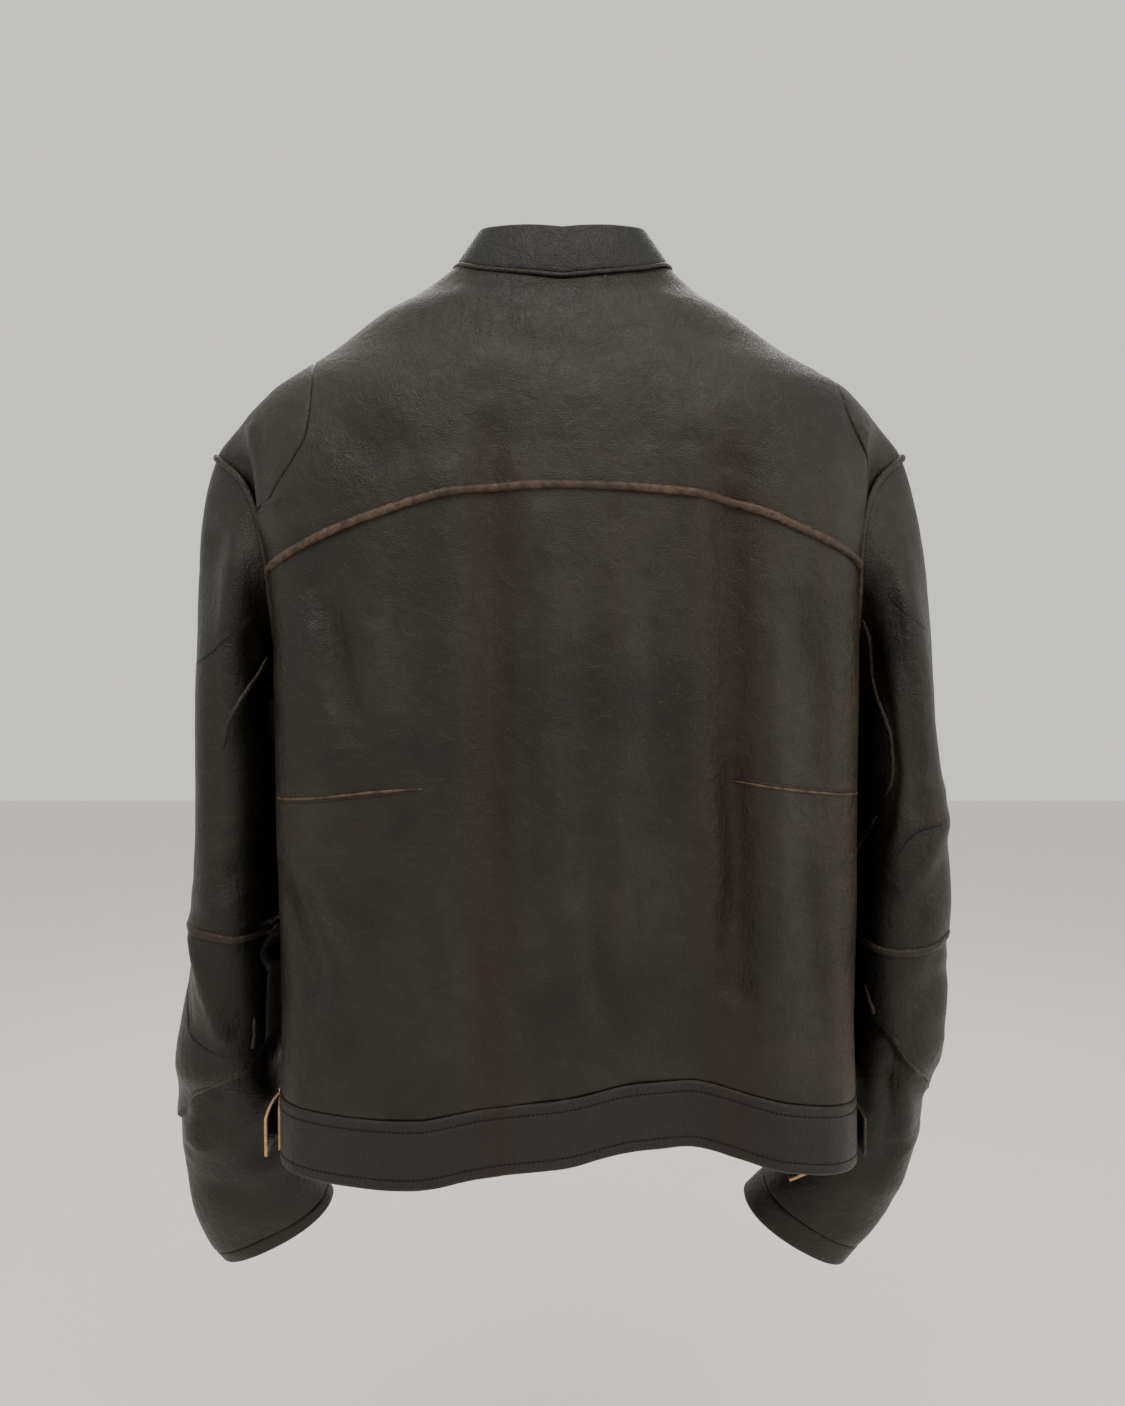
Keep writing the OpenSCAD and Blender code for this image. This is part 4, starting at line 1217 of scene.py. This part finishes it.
def sleeve_lift(side, phi, p, q):
    """Height of the sleeve's folds and wrinkles at the points q."""
    seed = 60 if side == "left" else 70
    x, z = np.abs(q[..., 0]), q[..., 2]
    behind = smoothstep(-0.25, 0.3, np.sin(np.radians(phi)))
    lift = 0.0
    for line, width, height in SLEEVE_FOLDS[side]:
        lift = lift + behind * stroke(x, z, line, width, height)
    for line, height, reach in HANGING_FOLDS[side]:
        lift = lift + behind * ledge(x, z, line, height, reach)
    elbow = np.exp(-(((p - 2.5) / 1.1) ** 2))
    low = smoothstep(3.2, 4.6, p) * smoothstep(8.1, 7.0, p)
    lift = lift + elbow * 2.2 * noise(q, (70, 60, 17), seed) * mix(1, 0.45, behind)
    lift = lift + low * (2.6 * noise(q, (60, 60, 36), seed + 1) + 0.8 * noise(q, (26, 26, 17), seed + 2))
    lift = lift + 1.4 * noise(q, (45, 60, 100), seed + 3) * smoothstep(-0.9, -0.2, p) * smoothstep(4, 1, p)
    wrapped = (phi + 180) % 360 - 180
    zip_calm = 1 - np.exp(-(((wrapped + 90) / 24) ** 4)) * smoothstep(5.4, 5.9, p)
    held = smoothstep(-1.0, -0.75, p)
    # The sleeve lies against the body ahead of its middle
    inward = np.exp(-(((np.abs(wrapped) - 180) / 48) ** 4)) * np.exp(-(((q[..., 1] + 74) / 30) ** 2))
    lift = lift + LIES_AGAINST[side] * inward * smoothstep(-300, -370, z) * smoothstep(-628, -598, z)
    return (lift + crumple(q, 0.8, seed + 5)) * zip_calm * held


def sleeve_grid(side, high, low, step):
    """Grid of a stretch of sleeve between two positions, lowest row first, and its angles and positions."""
    count = int(430 / step)
    phi = np.arange(count) * 360 / count * SIGN[side]
    fine = np.linspace(high, low, 400)
    legs = np.linalg.norm(np.diff(sleeve_point(side, 30, fine), axis=0), axis=1)
    run = np.concatenate([[0], np.cumsum(legs)])
    p = np.interp(spread(run[-1], step) * run[-1], run, fine)[::-1]
    phi, p = np.meshgrid(phi, p)
    q = sleeve_point(side, phi, p)
    q = q + grid_normals(q, True) * sleeve_lift(side, phi, p, q)[..., None]
    return q, phi, p


def sleeve_facts(q, phi):
    edge = np.minimum(*edge_distance(q)[:2])
    wear = 0.06 * np.clip(1 - edge / 4, 0, 1)
    tone = np.clip(0.15 + 0.4 * noise(q, (60, 60, 120), 81), 0, 1)
    behind = smoothstep(-0.2, 0.3, np.sin(np.radians(phi)))
    # Painted shade: the sleeve's back and its side against the body, between the upper arm and the cuff, are
    # painted near black where the body keeps the light off.
    near_body = smoothstep(266, 236, np.abs(q[..., 0])) * smoothstep(-180, -250, q[..., 2])
    inside = np.exp(-((((phi + 180) % 360 - 180) ** 2 - 180 ** 2) / 9000) ** 2)
    painted_shade = np.clip(near_body * mix(inside, 1, behind), 0, 1) * smoothstep(-700, -640, q[..., 2])
    return {"wear": wear, "tone": tone, "painted_shade": 0.9 * painted_shade}


# Outward direction of the armhole's plane, mirrored for the right side: the armhole seam's cord leans along
# it
RING_OUT = np.array([0.953, 0.0, -0.304])


def blend_shoulder(obj, side):
    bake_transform(obj)


def blend_elbow(obj, side):
    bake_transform(obj)


sleeve_grids = {}
for side in SIDES:
    q, phi, p = sleeve_grid(side, HEAD_TOP, SPLIT, STEP)
    sleeve_grids[side, "upper"] = q
    obj = panel("sleeve_" + side + "_upper_leather", q, leather, closed=True, seams="h", depth=1.9,
                facts=sleeve_facts(q, phi))
    blend_shoulder(obj, side)
    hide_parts("sleeve_head_" + side, "upper_sleeve_" + side)

    q, phi, p = sleeve_grid(side, SPLIT, CUFF_TOP, STEP)
    sleeve_grids[side, "lower"] = q
    obj = panel("sleeve_" + side + "_lower_leather", q, leather, closed=True, seams="l",
                facts=sleeve_facts(q, phi))
    blend_elbow(obj, side)
    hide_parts("elbow_panel_" + side, "forearm_" + side)

    q, phi, p = sleeve_grid(side, CUFF_TOP, CUFF_END, min(STEP, 2.8))
    sleeve_grids[side, "cuff"] = q
    obj = panel("cuff_" + side + "_leather", q, leather, 3.4, closed=True, seams="lh",
                facts=sleeve_facts(q, phi))
    dressed(obj, "lower_sleeve_" + side, "cuff_" + side)

    q, phi, p = sleeve_grid(side, 3.45, 7.6, STEP + 1.5)
    inner = q - grid_normals(q, True) * 4.4
    obj = panel("sleeve_" + side + "_satin", inner, satin, 0.9, closed=True, seams="")
    dressed(obj, "lower_sleeve_" + side, "sleeve_lining_" + side)

# ---------------------------------------------------------------- seams laid on the finished faces


SMOOTH_LAY = STEP * 0.9


def lay_on(grid, line, closed=False, count=None):
    """Path over a grid's face behind, through (x, z) points, with its normals."""
    line = np.array(line, float)
    run = np.concatenate([[0], np.cumsum(np.linalg.norm(np.diff(line, axis=0), axis=1))])
    at = np.linspace(0, run[-1], count or max(8, int(run[-1] / 3)))
    xs = curve(*zip(run, line[:, 0]))(at)
    zs = curve(*zip(run, line[:, 1]))(at)
    normal = grid_normals(grid, closed).reshape(-1, 3)
    points = grid.reshape(-1, 3)
    behind = normal[:, 1] > 0.03
    points, normal = points[behind], normal[behind]
    path, up = [], []
    for x, z in zip(xs, zs):
        gap = (points[:, 0] - x) ** 2 + (points[:, 2] - z) ** 2
        near = np.argpartition(gap, 9)[:9]
        weight = np.exp(-gap[near] / SMOOTH_LAY ** 2)
        weight = weight / weight.sum()
        path.append(weight @ points[near])
        up.append(weight @ normal[near])
    return np.array(path), unit(np.array(up))


def mirrored(line, side):
    return [(x * SIGN[side], z) for x, z in line]


def shifted(row, across):
    """A path moved sideways over the face it lies on."""
    path, up = row
    _, beside, _ = frames_along(path, up)
    return path + across * beside, up


WAIST_WELTS = {"left": ((221, -389), (180, -386), (140, -381), (103, -378)),
               "right": ((-228, -386), (-190, -382), (-160, -378), (-128, -374))}
rows = []
for side in SIDES:
    path, up = lay_on(back_grid, WAIST_WELTS[side])
    obj = welt("waist_welt_" + side, path + 0.2 * up, up, 1.15, piping_leather, 1.1, pucker=0.04, taper=30,
               facts={"wear": crest_wear(0.6, 1.0, 33), "tone": crest_wear(0, 0.1, 34)})
    dressed(obj, "jacket", "waist_welts")
    path, up = shifted((path, up), 1.9)
    obj = welt("waist_fold_" + side, path, up, 1.2, trim, 0.8, pucker=0.04, taper=30,
               facts={"wear": crest_wear(0, 0.1, 35), "tone": crest_wear(0.6, 1, 36)})
    dressed(obj, "jacket")

# Armhole seams
for side in SIDES:
    phi = np.linspace(0, 360, 200) + 180
    ring = sleeve_point(side, phi, np.full(phi.shape, HEAD_TOP))
    out = RING_OUT * np.array([SIGN[side], 1, 1])
    centre_of_ring = ring[:-1].mean(axis=0)
    up = unit(unit(ring - centre_of_ring) * 0.55 + out)
    obj = welt("armhole_seam_" + side, ring + 0.4 * up, up, 3.2, leather, 3.0, pucker=0.1, taper=0,
               facts={"wear": crest_wear(0.02, 0.2, 37), "tone": crest_wear(0, 0.3, 38)})
    dressed(obj, "jacket")
    rows.append(inset(shoulder_grid[side], "l", 7.5))

for grid in (band_back_grid, band_grid["left"], band_grid["right"]):
    rows.append(inset(grid, "h", BAND_STITCH))
    rows.append(inset(grid, "l", BAND_STITCH))
rows.append(inset(yoke_grid, "l", 6.5))
rows.append(inset(collar_grid, "h", 5.5))
rows.append(inset(collar_grid, "l", 4.0))
for side in SIDES:
    zip_edge = "s" if side == "left" else "e"
    rows.append(inset(front_grid[side], zip_edge, 7.0))
    rows.append(inset(band_grid[side], zip_edge, 7.0))
dressed(stitches("body_stitches", rows, thread), "jacket")

# Seams of the sleeves, seen from behind: kind, stretch of sleeve, line of (|x|, z)
SLEEVE_SEAMS = {
    "left": (
        ("welt", "upper", ((231, -280), (239, -300), (248, -318), (256, -336), (259, -352))),
        ("thin", "upper", ((290, -289), (274, -281), (255, -266), (238, -248))),
        ("raised", "lower", ((301, -490), (288, -493), (269, -496), (249, -499), (233, -499))),
        ("welt", "lower", ((245, -564), (247, -591), (260, -612), (279, -623), (294, -632), (305, -647))),
        ("thin", "lower", ((302, -515), (301, -553), (297, -578), (275, -593), (262, -597))),
    ),
    "right": (
        ("welt", "upper", ((234, -252), (241, -272), (247, -316), (253, -345), (255, -372), (252, -392))),
        ("welt", "lower", ((249, -408), (245, -425), (239, -445), (233, -470))),
        ("thin", "upper", ((280, -262), (264, -250), (250, -232))),
        ("raised", "lower", ((231, -504), (254, -510), (281, -508), (308, -498))),
        ("welt", "lower", ((239, -540), (245, -559), (262, -582), (276, -603), (293, -619), (300, -630))),
        ("thin", "lower", ((296, -408), (273, -414), (262, -424), (254, -440))),
    ),
}
SEAM_SIZES = {"welt": (2.0, 1.7), "thin": (0.8, 0.3), "raised": (3.4, 1.7)}
for side in SIDES:
    rows = {"upper": [], "lower": []}
    for number, (kind, stretch, line) in enumerate(SLEEVE_SEAMS[side]):
        row = lay_on(sleeve_grids[side, stretch], mirrored(line, side), True)
        path, up = row
        width, height = SEAM_SIZES[kind]
        obj = welt("sleeve_seam_" + side + "_" + str(number),
                   path, up, width, thread if kind == "thin" else leather,
                   height, pucker=0.15, taper=10,
                   facts={"wear": crest_wear(0.05, 0.22 if kind == "raised" else 0.3, 90 + number),
                          "tone": crest_wear(0.2, 0.8 if kind == "thin" else 0.4, 95)})
        if kind == "raised":
            rows[stretch] += [shifted(row, 4.6), shifted(row, -4.6)]
        if kind == "thin":
            rows[stretch].append(shifted(row, 2.0))
        (blend_shoulder if stretch == "upper" else blend_elbow)(obj, side)
    for stretch, blend in (("upper", blend_shoulder), ("lower", blend_elbow)):
        if rows[stretch]:
            blend(stitches("sleeve_stitches_" + side + "_" + stretch, rows[stretch], thread), side)
    cuff = sleeve_grids[side, "cuff"]
    cuff_rows = [inset(cuff, "l", 10.0, True), inset(cuff, "h", 3.5, True)]
    dressed(stitches("cuff_stitches_" + side, cuff_rows, thread), "lower_sleeve_" + side)

# ---------------------------------------------------------------- side straps

STRAP_LOW, STRAP_HIGH = -664.5, -634.5
HINGE_X, HINGE_Y = 228.6, -24.0
TAIL_FLARE, TAIL_LENGTH, TAIL_DROOP = 7.0, 35.0, 9.0
TAIL_OUT = {"left": 0.0, "right": 4.5}        # the right side of the waistband is fuller behind the hinge


def band_side(side, y, z, off):
    """Points on the waistband's side at depths y and heights z."""
    y, z = np.broadcast_arrays(np.asarray(y, float), np.asarray(z, float))
    dy = y - MID_Y
    ahead = turn(alpha_at_depth(np.abs(dy), z, side, -1), side, -1)
    behind = turn(alpha_at_depth(np.abs(dy), z, side, 1), side, 1)
    return body(np.where(dy < 0, ahead, behind), z, 0) + np.array([SIGN[side] * off, 0, 0])


def strap_panel(name, side, p, body_name, *nodes, thick=2.2, rim=raw_edge):
    if side == "right":
        p = p[:, ::-1]
    wear = 0.5 * np.clip(1 - np.min(edge_distance(p), axis=0) / 2.5, 0, 1)
    facts = {"wear": wear, "tone": np.zeros(p.shape[:2])}
    obj = panel(name, p, trim, thick, seams="lhse", depth=0.5, facts=facts, rim=rim)
    dressed(obj, body_name, *nodes)
    return p


for side in SIDES:
    sign = SIGN[side]
    y = mix(-92.0, HINGE_Y - 0.8, spread(67, 3.0))[None]
    z = mix(STRAP_LOW, STRAP_HIGH, spread(30, 2.5))[:, None]
    strap = strap_panel("side_strap_" + side + "_leather", side, band_side(side, y, z, 3.6), "jacket",
                        "side_strap_" + side)
    strap_rows = [inset(strap, "l", 3.0), inset(strap, "h", 3.0)]

    along = mix(2.0, TAIL_LENGTH, spread(33, 2.5))[None]
    droop = TAIL_DROOP * (along / TAIL_LENGTH) ** 1.6
    flare = math.radians(TAIL_FLARE)
    bow = 1.6 * np.sin(np.pi * along / TAIL_LENGTH)
    y = HINGE_Y + along * math.cos(flare) + 0 * z
    x = sign * (HINGE_X + 1.6 + along * math.sin(flare) + bow + TAIL_OUT[side] * along / TAIL_LENGTH) + 0 * z
    tail = np.stack([x, y, z - droop], -1)
    strap_panel("strap_tail_" + side + "_leather", side, tail, "strap_end_" + side, "strap_tail_" + side,
                thick=2.8,
                rim=raw_edge if side == "left" else trim)

    # The left strap's other end, sewn on the waistband behind the fold
    if side == "left":
        dy = mix(18.0, 66.0, spread(40, 3.0))[None]
        anchor_z = mix(STRAP_LOW - 2, STRAP_HIGH + 1, spread(30, 2.5))[:, None]
        angle = turn(alpha_at_depth(dy + 0 * anchor_z, anchor_z + 0 * dy, side, 1), side, 1)
        base = body(angle, anchor_z + 0 * dy, 3.4)
        anchor = strap_panel("strap_anchor_leather", side, base, "jacket", thick=2.6)
        strap_rows += [inset(anchor, "l", 3.0), inset(anchor, "h", 3.0)]
    dressed(stitches("strap_stitches_" + side, strap_rows, thread), "jacket")

# A strap's spare end hangs inside the hem on the right and curls to the back
SPARE_INNER = np.array([(-192, -84, -655), (-192, -84, -700), (-192, -76, -727), (-192, -52, -724)], float)
SPARE_OUTER = SPARE_INNER + np.array([(-19, 0, 2), (-19, 0, 3), (-19, 0, 6), (-19, 0, 8)], float)
across = spread(20, 2.5)[None, :, None]
down = spread(80, 3.0)[:, None, None]
weights = ((1 - down) ** 3, 3 * down * (1 - down) ** 2, 3 * down * down * (1 - down), down ** 3)
spare = sum(w * mix(a, b, across) for w, a, b in zip(weights, SPARE_INNER, SPARE_OUTER))
strap_panel("strap_spare_end", "right", spare[::-1], "jacket", thick=3.0)

# ---------------------------------------------------------------- CAD pieces that stay

kept = {"hang_loop": trim_cad, "main_zip_slider": nickel, "main_zip_pull": nickel, "collar_snap_cap": nickel,
        "collar_snap_stud": nickel, "strap_loops": nickel, "pocket_bags": tape_cad, "collar_tab": trim_cad}
for side in SIDES:
    kept["main_zip_tape_" + side] = tape_cad
    for node in ("main_zip_teeth_", "pocket_slider_", "pocket_pull_", "cuff_slider_", "cuff_pull_",
                 "pocket_zip_",
                 "cuff_zip_"):
        kept[node + side] = nickel
for node, material in kept.items():
    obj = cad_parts[node]
    obj.data.materials.clear()
    obj.data.materials.append(material)


TOOTH_FACE = 6e-6              # square metres; a tooth has no larger face


def split_zip(node, plate):
    """Gives a zip's plate one material and leaves its teeth, which stand out of the plate, in metal."""
    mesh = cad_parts[node].data
    mesh.materials.append(plate)
    count = len(mesh.polygons)
    middle = np.zeros(3 * count)
    mesh.polygons.foreach_get("center", middle)
    middle = middle.reshape(-1, 3)
    corner = np.zeros(3 * len(mesh.vertices))
    mesh.vertices.foreach_get("co", corner)
    corner = corner.reshape(-1, 3)
    low, high = corner.min(axis=0), corner.max(axis=0)
    axes = np.linalg.svd(corner - corner.mean(axis=0), full_matrices=False)[2]
    out = axes[2] * (-1 if axes[2][1] > 0 else 1)
    across = np.abs((middle - (low + high) / 2) @ axes[1])
    height = (middle - corner[0]) @ out
    area = np.zeros(count)
    mesh.polygons.foreach_get("area", area)
    teeth = (across < 0.00245) & (height > np.percentile(height, 60)) & (area < TOOTH_FACE)
    mesh.polygons.foreach_set("material_index", np.where(teeth, 0, 1))


for side in SIDES:
    split_zip("pocket_zip_" + side, trim_cad)
    split_zip("cuff_zip_" + side, tape_cad)

# ---------------------------------------------------------------- floor, light and camera

FLOOR_Z = -1.2


def plain_material(name, colour, rough):
    s = Shader(name)
    speck = s.noise(s.object_place(), 6.0, 2.0, 0.5)
    low = tuple(0.97 * c for c in colour)
    return s.finish(s.blend(speck, low, colour), rough, specular=0.2)


floor_mesh = bpy.data.meshes.new("floor")
reach = 6.0
floor_mesh.from_pydata([(-reach, -reach, FLOOR_Z), (reach, -reach, FLOOR_Z), (reach, reach, FLOOR_Z),
                        (-reach, reach, FLOOR_Z)], [], [(0, 1, 2, 3)])
floor_mesh.materials.append(plain_material("floor_pale", (0.78, 0.76, 0.73), 0.7))
floor = bpy.data.objects.new("floor", floor_mesh)
bpy.context.scene.collection.objects.link(floor)

world = bpy.data.worlds.new("pale_room")
world.use_nodes = True
world.node_tree.nodes["Background"].inputs["Color"].default_value = (0.80, 0.79, 0.76, 1.0)
world.node_tree.nodes["Background"].inputs["Strength"].default_value = 1.12
bpy.context.scene.world = world


def soft_light(name, place, target, size, power, colour):
    data = bpy.data.lights.new(name, "AREA")
    data.shape = "RECTANGLE"
    data.size, data.size_y = size
    data.energy = power
    data.color = colour
    light = bpy.data.objects.new(name, data)
    light.location = place
    aim = np.array(target) - np.array(place)
    light.rotation_mode = "QUATERNION"
    light.rotation_quaternion = Vector(aim).to_track_quat("-Z", "Y")
    bpy.context.scene.collection.objects.link(light)


centre = (0.0, -0.05, -0.35)
soft_light("ceiling_behind", (0.0, 1.1, 1.5), centre, (1.8, 1.0), 34, (1.0, 0.97, 0.93))
soft_light("ceiling_front", (0.0, -1.6, 1.3), centre, (1.8, 1.2), 26, (1.0, 0.98, 0.95))
soft_light("fill_left", (1.9, 0.9, -0.1), centre, (1.0, 1.4), 4, (1.0, 0.98, 0.96))
soft_light("fill_right", (-1.9, 0.9, -0.1), centre, (1.0, 1.4), 13, (1.0, 0.98, 0.96))

CAMERA_PLACE = (0.0, 0.880, -0.27584)
CAMERA_DOWN = 2.7              # degrees below level, looking at the back
PICTURE_LONG, FOCAL = 1406, 1130      # the picture's long side and the focal length, in the same unit
SENSOR = 36.0
camera_data = bpy.data.cameras.new("camera")
camera_data.sensor_width = SENSOR
camera_data.lens = FOCAL / PICTURE_LONG * SENSOR
camera = bpy.data.objects.new("camera", camera_data)
camera.location = CAMERA_PLACE
camera.rotation_euler = (math.radians(90 - CAMERA_DOWN), 0, math.radians(180))
bpy.context.scene.collection.objects.link(camera)
bpy.context.scene.camera = camera
